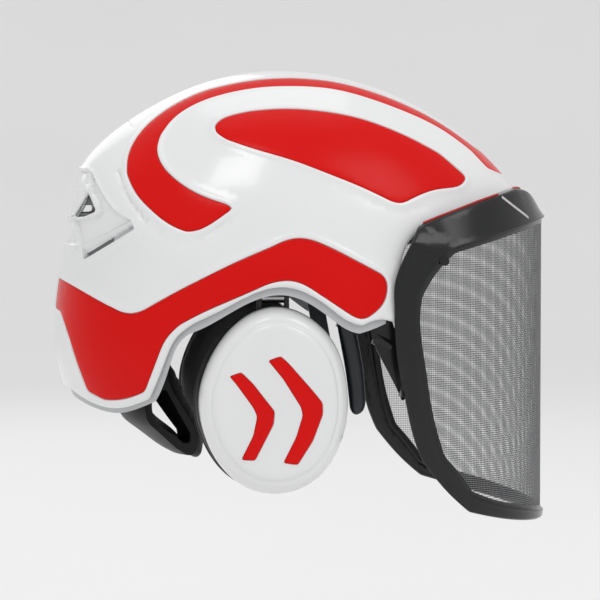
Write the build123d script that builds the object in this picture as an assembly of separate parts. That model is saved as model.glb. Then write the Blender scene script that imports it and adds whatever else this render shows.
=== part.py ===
from build123d import *
import math
import os

# Forestry helmet with ear defenders and a mesh visor. Millimetres, +Z up.
# +X is forward, +Y is the wearer's left. The origin is the middle of the head
# cavity, level with the top of the ears.

# ---------------------------------------------------------------- dimensions
SHELL_HALF_WIDTH = 115.0
SHELL_WALL = 3.0
PANEL_DEPTH = 1.2
INNER_GAP = 0.3
INNER_WALL = 2.0
SIDE_POWER = 2.3
ARCH_POWER = 2.2

HEAD_LENGTH = 98.0
HEAD_WIDTH = 77.0
RING_WALL = 2.4

CUP_X = -17.0
CUP_Z = -35.0
CUP_FACE = 117.6
CUP_SWING_Y = 96.5
CUP_SWING_Z = 47.0

VISOR_PIVOT_X = 36.0
VISOR_PIVOT_Z = 21.0
VISOR_INNER = 110.6
VISOR_WALL = 3.0
VISOR_FRONT = 171.0
VISOR_START = 54.0
VISOR_LIFT = 62.0
VISOR_REACH = 24.0
VISOR_REACH_ANGLE = 40.0
MESH_WALL = 0.6

# The shell seen from the side: a ring of points around the origin.
SIDE_RING = [
    (187.0, 0.0), (178.5, 43.0), (151.0, 97.5), (110.0, 137.5), (60.0, 163.5),
    (0.0, 174.5), (-40.5, 170.5), (-90.5, 150.0), (-124.0, 125.5),
    (-139.5, 104.0), (-145.0, 74.0), (-150.0, 39.0), (-153.0, 4.0),
    (-148.0, -28.0), (-128.0, -66.0), (-70.0, -118.0), (30.0, -140.0),
    (130.0, -100.0),
]

# Outlines seen from the side, as runs of points: two make a line, more a curve.
RIM = [
    [(175, 103), (150.0, 98.5), (118, 90), (89, 80.5), (67, 72)],
    [(67, 72), (60, 65), (57.5, 56), (56.5, 40), (56.8, 13)],
    [(56.8, 13), (49, 16), (37, 11.8)],
    [(37, 11.8), (29, 14.5), (17, 23), (4, 31.5), (-11, 36), (-28, 33), (-46, 24), (-67, 13.5)],
    [(-67, 13.5), (-78, 4.5), (-84.5, -9), (-90, -24), (-94.5, -35)],
    [(-94.5, -35), (-104, -39.5), (-118, -42.5), (-132, -39), (-144, -32)],
    [(-144, -32), (-175, -26)],
    [(-175, -26), (-175, 200)],
    [(-175, 200), (175, 200)],
    [(175, 200), (175, 103)],
]
INNER_RIM = [
    [(160, 112), (118, 94), (89, 84.5), (64, 75)],
    [(64, 75), (56, 67), (53.5, 56), (52.5, 40), (52.5, 13)],
    [(52.5, 13), (44, 9.5), (36, 7)],
    [(36, 7), (28, 9.5), (20.5, 14.5), (4, 26), (-11, 31), (-29, 28), (-48, 18), (-67, 8)],
    [(-67, 8), (-75.5, 1.5), (-81.5, -13), (-86, -27), (-90, -36)],
    [(-90, -36), (-100, -41), (-112, -45), (-128, -43), (-144, -36)],
    [(-144, -36), (-175, -30)],
    [(-175, -30), (-175, 200)],
    [(-175, 200), (160, 200)],
    [(160, 200), (160, 112)],
]
SIDE_PANEL = [
    [(-158, 43), (-138, 33.5), (-124, 26), (-111.5, 20)],
    [(-111.5, 20), (-105, 19.3), (-97.5, 21.6)],
    [(-97.5, 21.6), (-81.6, 31), (-59, 43), (-37, 53.6), (-19.5, 61)],
    [(-19.5, 61), (-8, 65.8), (0, 66.6), (8, 65)],
    [(8, 65), (17.3, 61), (39, 49.8), (50.5, 43.8)],
    [(50.5, 43.8), (53.4, 39.5)],
    [(53.4, 39.5), (52.4, 29), (49, 23)],
    [(49, 23), (43, 18)],
    [(43, 18), (36.8, 15.9), (30.5, 18.2)],
    [(30.5, 18.2), (15.5, 28.2), (3, 36.5)],
    [(3, 36.5), (-4, 39.4), (-12, 40), (-21, 38.2)],
    [(-21, 38.2), (-42, 29), (-64, 19), (-75.6, 12.7)],
    [(-75.6, 12.7), (-84, 3.8), (-89, -7.5), (-93.5, -20), (-97, -30)],
    [(-97, -30), (-105, -33.8), (-116, -36.5), (-122, -36.7)],
    [(-122, -36.7), (-132, -32)],
    [(-132, -32), (-139, -13), (-145.3, 7), (-149, 18)],
    [(-149, 18), (-158, 22)],
    [(-158, 22), (-158, 43)],
]
LEAF_PANEL = [
    [(-50.5, 132), (-51.6, 136), (-48, 140.5), (-40, 143.8), (-29, 146.2)],
    [(-29, 146.2), (-15, 147.5), (0, 147.7), (20, 145.9), (39, 142.4), (56, 137), (74, 129.4), (92.5, 119.8)],
    [(92.5, 119.8), (104, 110), (110, 104.6)],
    [(110, 104.6), (109, 102.6), (90, 96.8), (70.5, 90.4)],
    [(70.5, 90.4), (64, 88), (58.5, 88.6)],
    [(58.5, 88.6), (41, 97), (17.6, 106.5), (-5, 115), (-28, 122), (-45, 128)],
    [(-45, 128), (-50.5, 132)],
]
STRIPE_PANEL = [
    [(-46, 87.5), (-64, 94.2), (-76.5, 102.5), (-85, 112), (-87.8, 121), (-85.5, 130.5)],
    [(-85.5, 130.5), (-79, 139.2), (-67, 148.5), (-49, 156), (-32, 160), (-14, 162.2), (4, 162.6)],
    [(4, 162.6), (24, 161.2), (47, 155.8), (71, 147.4), (96.5, 135.8), (117, 121.5)],
    [(117, 121.5), (127, 110.5)],
    [(127, 110.5), (136, 107.5), (152, 103)],
    [(152, 103), (138, 132)],
    [(138, 132), (126, 122.5), (119.5, 126)],
    [(119.5, 126), (97.5, 140.4), (73, 152.6), (48.5, 161.4), (25, 166.8), (0, 168.6)],
    [(0, 168.6), (-18.7, 167.6), (-42.5, 163.6), (-61, 158.2), (-78, 149.6)],
    [(-78, 149.6), (-91, 140), (-102, 127), (-106.4, 116), (-107, 106)],
    [(-107, 106), (-102, 94.5), (-93, 84), (-81, 74.5), (-71.5, 70.2)],
    [(-71.5, 70.2), (-67, 70.6), (-50, 79.3), (-42, 85)],
    [(-42, 85), (-46, 87.5)],
]
VENT_SLOT = [
    [(-101.5, 77.5), (-134, 56.5)],
    [(-134, 56.5), (-138, 51)],
    [(-138, 51), (-132, 50.5)],
    [(-132, 50.5), (-102, 70.5)],
    [(-102, 70.5), (-101.5, 77.5)],
]
VENT_HOOK = [
    [(-129, 105), (-122.5, 93.5), (-116, 83)],
    [(-116, 83), (-110.5, 84.5)],
    [(-110.5, 84.5), (-116.5, 95), (-123.5, 107)],
    [(-123.5, 107), (-129, 105)],
]
VENT_CORNER = [
    [(-131, 95.5), (-147, 78)],
    [(-147, 78), (-128, 86)],
    [(-128, 86), (-131, 95.5)],
]
CUP_OUTLINE = [
    (-17.0, -93.5), (-35.0, -89.0), (-50.5, -75.5), (-60.5, -56.0), (-64.0, -34.0),
    (-59.0, -13.5), (-44.0, 10.0), (-19.0, 23.5), (6.0, 16.5), (21.5, -0.5),
    (28.5, -24.0), (29.0, -45.0), (23.0, -66.5), (9.0, -85.0),
]
CHEVRON_REAR = [
    (-46.0, -18.5), (-38.5, -16.0), (-31.0, -23.5), (-17.8, -40.5), (-18.5, -48.5),
    (-30.0, -71.0), (-38.7, -70.5), (-31.2, -55.5), (-28.7, -43.5), (-31.2, -38.0),
    (-41.7, -23.5),
]
CHEVRON_FRONT = [
    (-22.0, -9.0), (-14.0, -6.2), (-8.9, -11.0), (6.0, -28.0), (12.0, -35.5),
    (12.2, -42.5), (6.0, -59.0), (-3.5, -74.0), (-12.6, -72.6), (-4.5, -56.5),
    (-0.4, -43.0), (-1.6, -38.0), (-12.6, -20.5),
]


# ------------------------------------------------------------------- helpers
def ring_at(y, inset):
    """The shell's side ring on the plane at y, moved in by inset."""
    span = (1 - (abs(y) / (SHELL_HALF_WIDTH - inset)) ** SIDE_POWER) ** (1 / ARCH_POWER)
    points = []
    for x, z in SIDE_RING:
        length = math.hypot(x, z)
        reach = span * (length - inset) / length
        points.append((x * reach, y, z * reach))
    return Wire([Spline(*points, periodic=True)])


def dome(inset):
    """The closed body inside the shell's outer face moved in by inset."""
    steps = [0.2, 0.4, 0.56, 0.7, 0.8, 0.87, 0.925, 0.962, 0.985, 0.9955]
    fractions = [-f for f in reversed(steps)] + [0.0] + steps
    half = SHELL_HALF_WIDTH - inset
    return Solid.make_loft([ring_at(f * half, inset) for f in fractions])


def side_face(runs):
    """A flat face on the XZ plane from runs of points."""
    edges = []
    for run in runs:
        points = [(x, 0, z) for x, z in run]
        edges.append(Line(*points) if len(points) == 2 else Spline(*points))
    return Face(Wire(edges))


def side_prism(face, y_from, y_to):
    """A side face pushed out between two planes across the helmet."""
    return extrude(Pos(0, y_from, 0) * face, y_to - y_from, dir=(0, 1, 0))


def polygon(points):
    return side_face([[a, b] for a, b in zip(points, points[1:] + points[:1])])


def box(x0, x1, y0, y1, z0, z1):
    return Pos((x0 + x1) / 2, (y0 + y1) / 2, (z0 + z1) / 2) * Box(x1 - x0, y1 - y0, z1 - z0)


def rod(start, end, radius):
    """A round bar from one point to another."""
    a, b = Vector(*start), Vector(*end)
    return Plane(origin=a, z_dir=b - a) * Cylinder(
        radius, (b - a).length, align=(Align.CENTER, Align.CENTER, Align.MIN)
    )


def left_of(thing):
    """The mirror image on the wearer's left."""
    return mirror(thing, about=Plane.XZ)


def biggest(shape):
    return max(shape.solids(), key=lambda s: s.volume)


def spin_y(shape, x, z, degrees):
    """Turned about an axis across the helmet, positive lifts the front."""
    return shape.rotate(Axis((x, 0, z), (0, -1, 0)), degrees)


def oval_ring(a, b, wall, low, high):
    """An upright oval band: a and b are its outer half length and width."""
    outer = extrude(Pos(0, 0, low) * Ellipse(a, b), high - low)
    inner = extrude(Pos(0, 0, low - 1) * Ellipse(a - wall, b - wall), high - low + 2)
    return outer - inner


# --------------------------------------------------------------------- shell
outside = dome(0)
panel_floor = dome(PANEL_DEPTH)
shell_inside = dome(SHELL_WALL)
liner_outside = dome(SHELL_WALL + INNER_GAP)
liner_inside = dome(SHELL_WALL + INNER_GAP + INNER_WALL)

rim_cut = side_prism(side_face(RIM), -140, 140)
skin = outside - panel_floor

parts = {}


def panel_and_recess(runs, y_from, y_to):
    face = side_face(runs)
    tool = side_prism(face, y_from, y_to)
    return biggest(skin & tool), tool


side_panel, side_tool = panel_and_recess(SIDE_PANEL, -130, -14)
leaf_panel, leaf_tool = panel_and_recess(LEAF_PANEL, -130, -14)
stripe_tool = side_prism(side_face(STRIPE_PANEL), -130, 130)
stripe_panel = skin & stripe_tool
recesses = [side_tool, left_of(side_tool), leaf_tool, left_of(leaf_tool), stripe_tool]

outer_shell = (outside - shell_inside) & rim_cut
for tool in recesses:
    outer_shell = outer_shell - (skin & tool)
for runs in (VENT_SLOT, VENT_HOOK, VENT_CORNER):
    hole = side_prism(side_face(runs), -130, -24)
    outer_shell = outer_shell - hole - left_of(hole)
parts["outer_shell"] = biggest(outer_shell)
parts["side_panel_right"] = side_panel
parts["side_panel_left"] = left_of(side_panel)
parts["leaf_panel_right"] = leaf_panel
parts["leaf_panel_left"] = left_of(leaf_panel)
parts["stripe_panel"] = biggest(stripe_panel)

# The liner shows below the outer shell as a lip, with a louvred panel behind
# the rear vents.
liner = (liner_outside - liner_inside) & side_prism(side_face(INNER_RIM), -140, 140)
grille_zone = box(-170, -101, -72, 72, 44, 112)
grille = liner & grille_zone
liner = liner - grille_zone
for step in range(6):
    height = 50.0 + step * 10.5
    grille = grille - box(-170, -90, -62, -8, height, height + 5.0)
    grille = grille - box(-170, -90, 8, 62, height, height + 5.0)
parts["inner_shell"] = biggest(liner)
parts["rear_grille"] = biggest(grille)


# ------------------------------------------------------------------- harness
# The harness is laid out level, then tilted so that its front sits higher.
HARNESS_TILT = 20.0
HARNESS_RISE = 49.0


def in_harness(shape):
    """From the level harness layout to its tilted place in the shell."""
    return Pos(0, 0, HARNESS_RISE) * shape.rotate(Axis.Y, -HARNESS_TILT)


ring_back = box(-120, -10, -120, 120, -60, 60)
ring = oval_ring(HEAD_LENGTH, HEAD_WIDTH, RING_WALL, -12, 12) - ring_back
for side in (-1, 1):
    for x in (40, 62):
        ring = ring - rod((x, side * 90, 0), (x, side * 30, 0), 3.2)
head_ring = in_harness(ring)
parts["head_ring"] = biggest(head_ring)

band = oval_ring(HEAD_LENGTH - RING_WALL - 0.4, HEAD_WIDTH - RING_WALL - 0.4, 4.5, -14, 4.8)
band = band - box(-120, 36, -120, 120, -60, 60)
parts["sweatband"] = biggest(in_harness(fillet(band.edges(), 1.4)))

long_strap = Ellipse(94.6, 95.0) - Ellipse(93.4, 93.8)
long_strap = extrude(Plane.XZ * long_strap, 11, both=True)
long_strap = long_strap - box(0, 120, -40, 40, -120, 5.4) - box(-120, 0, -40, 40, -120, 23)
cross_strap = Ellipse(73.6, 98.2) - Ellipse(72.4, 97.0)
cross_strap = extrude(Plane.YZ * cross_strap, 11, both=True)
cross_strap = cross_strap - box(-60, 60, -120, 120, -120, 2)
parts["strap_long"] = biggest(in_harness(long_strap))
parts["strap_cross"] = biggest(in_harness(cross_strap))

pad = scale(Sphere(1.0), by=(93.0, 72.4, 93.2)) - scale(Sphere(1.0), by=(87.0, 66.5, 87.0))
pad = pad & (Pos(0, 0, 40) * Cylinder(34, 80, align=(Align.CENTER, Align.CENTER, Align.MIN)))
parts["crown_pad"] = biggest(in_harness(pad))

# Four keys hold the ring and the straps to the liner.
key_front = in_harness(box(HEAD_LENGTH, 160, -9, 9, 4, 8))
key_rear = in_harness(box(-160, -92.5, -9, 9, 28, 32) + box(-94.5, -90.6, -9, 9, 23, 32))
key_rear = key_rear - in_harness(long_strap)
key_side = in_harness(box(2, 18, -140, -74, 8, 12)) - head_ring
keys = [key_front - head_ring, key_rear, key_side, left_of(key_side)]
parts["suspension_keys"] = Compound(children=[biggest(k & liner_inside) for k in keys])

TAB = [
    [(21, 61), (22.5, 30), (24.7, 12), (30, -17), (33, -42)],
    [(33, -42), (36, -46), (40.5, -44.5), (43, -38)],
    [(43, -38), (41.5, -17), (37.5, 5), (35, 25), (34, 61)],
    [(34, 61), (21, 61)],
]
tab = side_prism(side_face(TAB), -86.5, -83.8)
tab = tab + box(22.5, 33.5, -86.4, -70, 52, 60) - in_harness(
    extrude(Pos(0, 0, -40) * Ellipse(HEAD_LENGTH, HEAD_WIDTH), 80)
)
tab = biggest(tab) - rod((37.6, -90, -36.5), (37.6, -80, -36.5), 3.0)
parts["temple_tab_right"] = biggest(tab)
parts["temple_tab_left"] = left_of(parts["temple_tab_right"])

# ----------------------------------------------------------------- nape unit
# A band that slides forward in the harness, with the size knob behind it.
half_oval = Ellipse(85.2, 80.2) - Ellipse(83.2, 78.2)
half_oval = Pos(-19, 0) * half_oval
half_oval = half_oval & (Pos(-79, 0) * Rectangle(120, 200))
nape_band = extrude(Pos(0, 0, -7) * half_oval, 14)
for side in (-1, 1):
    y0, y1 = sorted((side * 78.2, side * 80.2))
    nape_band = nape_band + box(-19.2, 3, y0, y1, -7, 7)
housing = box(-119, -101, -24, 24, -16, 16)
housing = fillet(housing.edges().filter_by(Axis.Z), 6)
housing = housing - extrude(Pos(-19, 0, -20) * Ellipse(85.2, 80.2), 40)
housing = housing - rod((-130, 0, 0), (-108.2, 0, 0), 5.05)
knob = rod((-131, 0, 0), (-119.4, 0, 0), 17.0)
for k in range(14):
    turn = math.radians(k * 360 / 14)
    y, z = 18.0 * math.cos(turn), 18.0 * math.sin(turn)
    knob = knob - rod((-132, y, z), (-118, y, z), 2.1)
knob = knob + rod((-119.5, 0, 0), (-108.6, 0, 0), 5.0)
parts["nape_band"] = biggest(in_harness(nape_band))
parts["knob_housing"] = biggest(in_harness(housing))
parts["size_knob"] = biggest(in_harness(knob))

NAPE_AXIS_X = -36.0
NAPE_CRADLE = [
    [(64, -2), (65.5, -14), (69, -30), (74.5, -43)],
    [(74.5, -43), (73, -52), (64, -60), (48, -72), (40, -76.5)],
    [(40, -76.5), (33, -76), (29.5, -69), (31, -61.5)],
    [(31, -61.5), (40, -49), (52, -33), (58, -18), (61, -2)],
    [(61, -2), (64, -2)],
]
NAPE_HOLLOW = [
    [(62, -32), (69, -42), (67, -51), (56, -60), (44, -68)],
    [(44, -68), (37, -68.5), (36.5, -62)],
    [(36.5, -62), (46, -49), (56, -34)],
    [(56, -34), (62, -32)],
]
NAPE_PAD = [
    [(56.5, -14), (50.5, -31), (38, -48.5), (28.7, -61), (27.6, -70)],
    [(27.6, -70), (29, -79), (23.5, -82), (19, -72), (21.5, -58)],
    [(21.5, -58), (30.5, -44), (41.5, -29), (48, -13)],
    [(48, -13), (56.5, -14)],
]


def around_nape(runs, degrees):
    """A profile of reach and height swept round the back of the neck."""
    face = side_face([[(-r, z) for r, z in run] for run in runs])
    solid = revolve(face, Axis.Z, 2 * degrees)
    return Pos(NAPE_AXIS_X, 0, 0) * solid.rotate(Axis.Z, -degrees)


cradle = around_nape(NAPE_CRADLE, 38) - around_nape(NAPE_HOLLOW, 60)
bridge = side_prism(polygon([(-95, 12), (-110, 12), (-103, -14), (-97, -14)]), -16, 16)
cradle = cradle + bridge
cradle = cradle - in_harness(box(-119, -101, -24, 24, -16, 16))
cradle = cradle - in_harness(extrude(Pos(-19, 0, -7.3) * Ellipse(85.5, 80.5), 14.6))
parts["nape_cradle"] = biggest(cradle)
parts["nape_pad"] = biggest(around_nape(NAPE_PAD, 33))


# ------------------------------------------------------------------ ear cups
def cup_ring(y, size, dx=0.0, dz=0.0):
    """The cup's outline on the plane at y, grown or shrunk about its middle."""
    points = []
    for x, z in CUP_OUTLINE:
        points.append((CUP_X + dx + (x - CUP_X) * size, y, CUP_Z + dz + (z - CUP_Z) * size))
    return Wire([Spline(*points, periodic=True)])


def cup_body(y_from, y_to, size, dx=0.0, dz=0.0):
    face = Face(cup_ring(y_from, size, dx, dz))
    return extrude(face, y_to - y_from, dir=(0, 1, 0))


cap_steps = [(-99.0, 1.0), (-105.0, 0.99), (-110.5, 0.955), (-115.0, 0.88), (-CUP_FACE, 0.79)]
cap_hollow = [(-98.9, 0.94), (-104.5, 0.93), (-109.0, 0.895), (-112.6, 0.82), (-114.6, 0.74)]
cap = Solid.make_loft([cup_ring(y, size) for y, size in cap_steps])
cap = cap - Solid.make_loft([cup_ring(y, size) for y, size in cap_hollow])
chevron_rear = side_prism(polygon(CHEVRON_REAR), -CUP_FACE - 0.6, -CUP_FACE + 0.8)
chevron_front = side_prism(polygon(CHEVRON_FRONT), -CUP_FACE - 0.6, -CUP_FACE + 0.8)
cap = cap - chevron_rear - chevron_front

ARM_X0, ARM_X1 = CUP_X - 10.0, CUP_X + 10.0
TILT_Y, TILT_Z = -94.0, 29.0
base = cup_body(-98.8, -94.0, 1.02, -1.5, 0.5)
base = base - (Pos(CUP_X, -96, CUP_Z) * Rot(90, 0, 0) * extrude(Ellipse(24, 33), 6, both=True))
for x0, x1 in ((ARM_X0, ARM_X0 + 2.8), (ARM_X1 - 2.8, ARM_X1)):
    base = base + box(x0, x1, -98.2, -90.5, 12, TILT_Z + 3.5)
base = base - rod((ARM_X0 - 5, TILT_Y, TILT_Z), (ARM_X1 + 5, TILT_Y, TILT_Z), 1.8)
base = base - box(ARM_X0 + 2.8, ARM_X1 - 2.8, -93.9, -80, 0, 60)

cushion = cup_body(-93.5, -76.0, 1.0, -3.0, 0.0)
cushion = fillet(cushion.edges(), 6.0)
hole = Pos(CUP_X - 2, -85, CUP_Z) * Rot(90, 0, 0) * extrude(Ellipse(19.5, 29), 20, both=True)
cushion = cushion - hole
cushion = cushion - box(ARM_X0 - 0.5, ARM_X1 + 0.5, -95, -89.7, 11.5, 40)
foam = cup_body(-110.0, -99.4, 0.78)

pin_tilt = rod((ARM_X0, TILT_Y, TILT_Z), (ARM_X1, TILT_Y, TILT_Z), 1.8)
hanger = box(ARM_X0 + 3.05, ARM_X1 - 3.05, -95.45, -92.5, TILT_Z, 64)
hanger = hanger + rod((ARM_X0 + 3.05, TILT_Y, TILT_Z), (ARM_X1 - 3.05, TILT_Y, TILT_Z), 3.4)
hanger = hanger - rod((ARM_X0 - 5, TILT_Y, TILT_Z), (ARM_X1 + 5, TILT_Y, TILT_Z), 1.85)
arm = box(ARM_X0, ARM_X1, -98.6, -92.5, 35, 57)
arm = arm - box(ARM_X0 + 3, ARM_X1 - 3, -95.5, -90, 30, 60)
arm_pins = []
for x0, x1 in ((ARM_X0 - 6.5, ARM_X0), (ARM_X1, ARM_X1 + 6.5)):
    arm_pins.append(rod((x0, -CUP_SWING_Y, CUP_SWING_Z), (x1, -CUP_SWING_Y, CUP_SWING_Z), 2.0))
bracket = box(ARM_X0 - 6.5, ARM_X0 - 0.4, -116, -92.5, 43, 53)
bracket = bracket + box(ARM_X1 + 0.4, ARM_X1 + 6.5, -116, -92.5, 43, 53)
bracket = bracket + box(ARM_X0 - 6.5, ARM_X1 + 6.5, -116, -103.5, 46, 53)
bracket = bracket & liner_inside
bracket = bracket - rod((-60, -CUP_SWING_Y, CUP_SWING_Z), (30, -CUP_SWING_Y, CUP_SWING_Z), 2.05)

cup_parts = {
    "cup_cap": biggest(cap),
    "cup_chevrons": Compound(children=[biggest(chevron_rear), biggest(chevron_front)]),
    "cup_base": biggest(base),
    "cup_cushion": biggest(cushion),
    "cup_foam": biggest(foam),
    "cup_tilt_pin": biggest(pin_tilt),
    "cup_hanger": biggest(hanger),
    "cup_arm": biggest(arm),
    "cup_arm_pins": Compound(children=[biggest(p) for p in arm_pins]),
    "cup_bracket": biggest(bracket),
}
for name, part in cup_parts.items():
    parts[name + "_right"] = part
    parts[name + "_left"] = left_of(part)

# --------------------------------------------------------------------- visor
VISOR_TOP = [(74, 73.5), (89, 79), (118, 88.5), (149, 97)]
VISOR_BROW = [(149, 97), (159, 95.5), (166, 89), (172, 80)]


def visor_body(inset, z0=-130.0, z1=112.0):
    """The upright body inside the visor's outer wall moved in by inset."""
    reach = VISOR_FRONT - VISOR_START - inset
    half = VISOR_INNER + VISOR_WALL - inset
    points = []
    for k in range(17):
        t = math.radians(-90 + k * 180 / 16)
        c, s = max(math.cos(t), 0.0), math.sin(t)
        x = VISOR_START + reach * c ** (2 / 2.2)
        y = half * math.copysign(abs(s) ** (2 / 2.2), s)
        points.append((x, y))
    curve = Spline(*points, tangents=[(1, 0), (-1, 0)])
    back = Polyline((VISOR_START, half), (VISOR_START - 6, half),
                    (VISOR_START - 6, -half), (VISOR_START, -half))
    return extrude(Pos(0, 0, z0) * make_face(curve + back), z1 - z0)


FRAME_OUT = [
    VISOR_TOP,
    VISOR_BROW,
    [(172, 80), (190, 70)],
    [(190, 70), (190, -121)],
    [(190, -121), (171, -119.5), (150, -116.5), (128, -112), (107, -106.5)],
    [(107, -106.5), (94, -95), (76, -74)],
    [(76, -74), (70.3, -60), (64, -33), (59.5, -12), (57.5, 8)],
    [(57.5, 8), (57.3, 24), (57.6, 38), (61.5, 50), (74, 73.5)],
]
FRAME_IN = [
    [(97, 57), (120, 63), (150, 71), (190, 80)],
    [(190, 80), (190, -115)],
    [(190, -115), (171, -112), (150, -106.5), (128, -101), (109, -93.5)],
    [(109, -93.5), (98, -79), (90, -70)],
    [(90, -70), (82.5, -44), (77.5, -14), (74, 16), (75, 29)],
    [(75, 29), (80, 38), (90, 50.5), (97, 57)],
]
BROW_SHELF = [
    VISOR_TOP,
    VISOR_BROW,
    [(172, 80), (169.6, 77.2)],
    [(169.6, 77.2), (163.6, 86.2), (156.6, 92.7), (149, 94.2)],
    [(149, 94.2), (118, 85.7), (89, 76.2), (74, 70.7)],
    [(74, 70.7), (74, 73.5)],
]

visor_wall = visor_body(0) - visor_body(VISOR_WALL)
frame_window = side_prism(side_face(FRAME_IN), -140, 140)
frame = visor_wall & side_prism(side_face(FRAME_OUT), -140, 140)
frame = frame - frame_window
brow = visor_body(0.5) & side_prism(side_face(BROW_SHELF), -140, 140)
seal_face = polygon([(90, 79.4), (118, 88.5), (149, 97), (156, 96.4), (156, 98), (149, 98.4), (118, 89.9), (90, 80.8)])


def shell_seen_lifted(body, share):
    """The shell's body where the visor meets it with the visor lifted."""
    lift = VISOR_LIFT * share
    reach = VISOR_REACH * share
    turned = spin_y(body, VISOR_PIVOT_X, VISOR_PIVOT_Z, -lift)
    a = math.radians(VISOR_REACH_ANGLE)
    return Pos(-reach * math.cos(a), 0, -reach * math.sin(a)) * turned


clearance = dome(-1.2)
seal = (dome(-4.0) - clearance) & side_prism(seal_face, -78, 78)
frame = frame + brow - clearance
for share in (0.25, 0.5, 0.75, 1.0):
    sweep = shell_seen_lifted(clearance, share)
    frame = frame - sweep
    seal = seal - sweep
frame = biggest(frame)
seal = biggest(seal - frame)
parts["visor_seal"] = seal

mesh = (visor_body(1.2) - visor_body(1.2 + MESH_WALL)) & frame_window
parts["visor_mesh"] = biggest(mesh)

ANGLE = math.radians(VISOR_REACH_ANGLE)


def along(distance, aside=0.0):
    """A side-view point on the visor's line of reach, measured from its pivot."""
    x = VISOR_PIVOT_X + distance * math.cos(ANGLE) - aside * math.sin(ANGLE)
    z = VISOR_PIVOT_Z + distance * math.sin(ANGLE) + aside * math.cos(ANGLE)
    return (x, z)


def bar(start, end, half, y0, y1):
    corners = [along(start, -half), along(end, -half), along(end, half), along(start, half)]
    return side_prism(polygon(corners), y0, y1)


# On each side the lever turns on a pin in the shell, the arm slides along the
# lever in a channel, and a gusset and a short barrel join it to the frame's post.
PIN_RADIUS = 3.0
LEVER_OUT, LEVER_IN = -97.4, -94.4
ARM_OUT, ARM_FACE = -99.9, -97.8
MOUNT_OUT, MOUNT_IN = -94.0, -90.6
CHANNEL_FROM, CHANNEL_TO, CHANNEL_HALF = 7.0, 26.0, 6.5
LEVER_LENGTH, LEVER_HALF = 40.0, 4.0


def across(radius, y0, y1):
    """A round bar across the helmet on the visor's pivot."""
    return rod((VISOR_PIVOT_X, y0, VISOR_PIVOT_Z), (VISOR_PIVOT_X, y1, VISOR_PIVOT_Z), radius)


lever = across(5.5, LEVER_OUT, LEVER_IN) + bar(0, LEVER_LENGTH, LEVER_HALF, LEVER_OUT, LEVER_IN)
lever = lever - across(PIN_RADIUS + 0.05, -110, -80)
gusset_outline = [
    along(CHANNEL_FROM, -CHANNEL_HALF), along(CHANNEL_FROM, CHANNEL_HALF),
    along(CHANNEL_TO, CHANNEL_HALF), along(CHANNEL_TO, -CHANNEL_HALF),
    (56, 25), (58, 13), (62, 2), (68, -10), (68, -34), (64, -36), (60, -27), (48, -4),
    (45, 5), (43, 14),
]
arm = side_prism(polygon(gusset_outline), ARM_OUT, ARM_FACE)
arm = arm + bar(CHANNEL_FROM, CHANNEL_TO, CHANNEL_HALF, ARM_OUT, LEVER_IN)
arm = arm - bar(-30, 90, LEVER_HALF + 0.05, LEVER_OUT - 0.05, -80)
arm = arm + rod((47, -96.4, 4), (58, -96.4, -1.5), 4.4)
arm = arm + box(62, 68, -VISOR_INNER, ARM_FACE, -33, -10)
visor_arm = biggest(arm - frame)
parts["visor_arm_right"] = visor_arm
parts["visor_arm_left"] = left_of(visor_arm)
parts["visor_lever_right"] = biggest(lever)
parts["visor_lever_left"] = left_of(parts["visor_lever_right"])
parts["visor_frame"] = frame

pin = across(PIN_RADIUS, LEVER_OUT, MOUNT_IN + 0.2)
parts["visor_pins"] = Compound(children=[pin, left_of(pin)])
mount_outline = [(42, 15), (42, 27), (12, 41), (5, 41), (5, 27)]
mount = side_prism(polygon(mount_outline), MOUNT_OUT, MOUNT_IN)
mount = mount + box(5, 13, -120, MOUNT_IN, 28, 41)
mount = mount & liner_inside
mount = mount - across(PIN_RADIUS, -110, -80)
parts["visor_bracket_right"] = biggest(mount)
parts["visor_bracket_left"] = left_of(parts["visor_bracket_right"])
latch = rod((89, -104, 52), (89, -112.2, 52), 3.0) - visor_body(0)
parts["visor_latches"] = Compound(children=[biggest(latch), left_of(biggest(latch))])

os.makedirs("parts", exist_ok=True)
for name, part in parts.items():
    export_step(part, f"parts/{name}.step")
    print(name, part.is_valid, len(part.solids()), round(part.volume))
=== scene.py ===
"""Forestry helmet: shell, visor, ear cups and harness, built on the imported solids.

Each piece is made by its own operator. Sizes in this file are millimetres in the
side view (x forward, z up) unless a name says otherwise; meshes are in metres.
"""
import math

import bmesh
import bpy
import numpy as np
from bpy.props import FloatProperty, FloatVectorProperty, PointerProperty
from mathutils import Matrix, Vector
from mathutils.geometry import delaunay_2d_cdt
from mathutils.kdtree import KDTree


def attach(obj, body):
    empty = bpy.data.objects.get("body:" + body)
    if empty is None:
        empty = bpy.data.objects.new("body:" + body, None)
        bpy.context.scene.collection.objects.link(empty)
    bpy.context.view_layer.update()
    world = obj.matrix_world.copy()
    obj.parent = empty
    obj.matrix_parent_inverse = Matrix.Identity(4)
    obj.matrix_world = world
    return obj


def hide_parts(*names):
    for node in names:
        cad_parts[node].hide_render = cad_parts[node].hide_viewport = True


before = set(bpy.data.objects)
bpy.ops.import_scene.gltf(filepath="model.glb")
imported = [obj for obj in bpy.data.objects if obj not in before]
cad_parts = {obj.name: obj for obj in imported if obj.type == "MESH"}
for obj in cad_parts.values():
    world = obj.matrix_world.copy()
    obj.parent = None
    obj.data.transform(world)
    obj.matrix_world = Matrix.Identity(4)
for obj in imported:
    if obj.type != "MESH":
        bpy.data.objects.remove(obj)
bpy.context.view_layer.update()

bl_info = {
    "name": "Forestry helmet",
    "version": (1, 0, 0),
    "blender": (4, 5, 0),
    "location": "View3D > Sidebar > Helmet",
    "description": "Builds a forestry helmet with ear cups, mesh visor and harness",
    "category": "Add Mesh",
}

MM = 0.001
SIDES = (("right", -1), ("left", 1))

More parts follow.
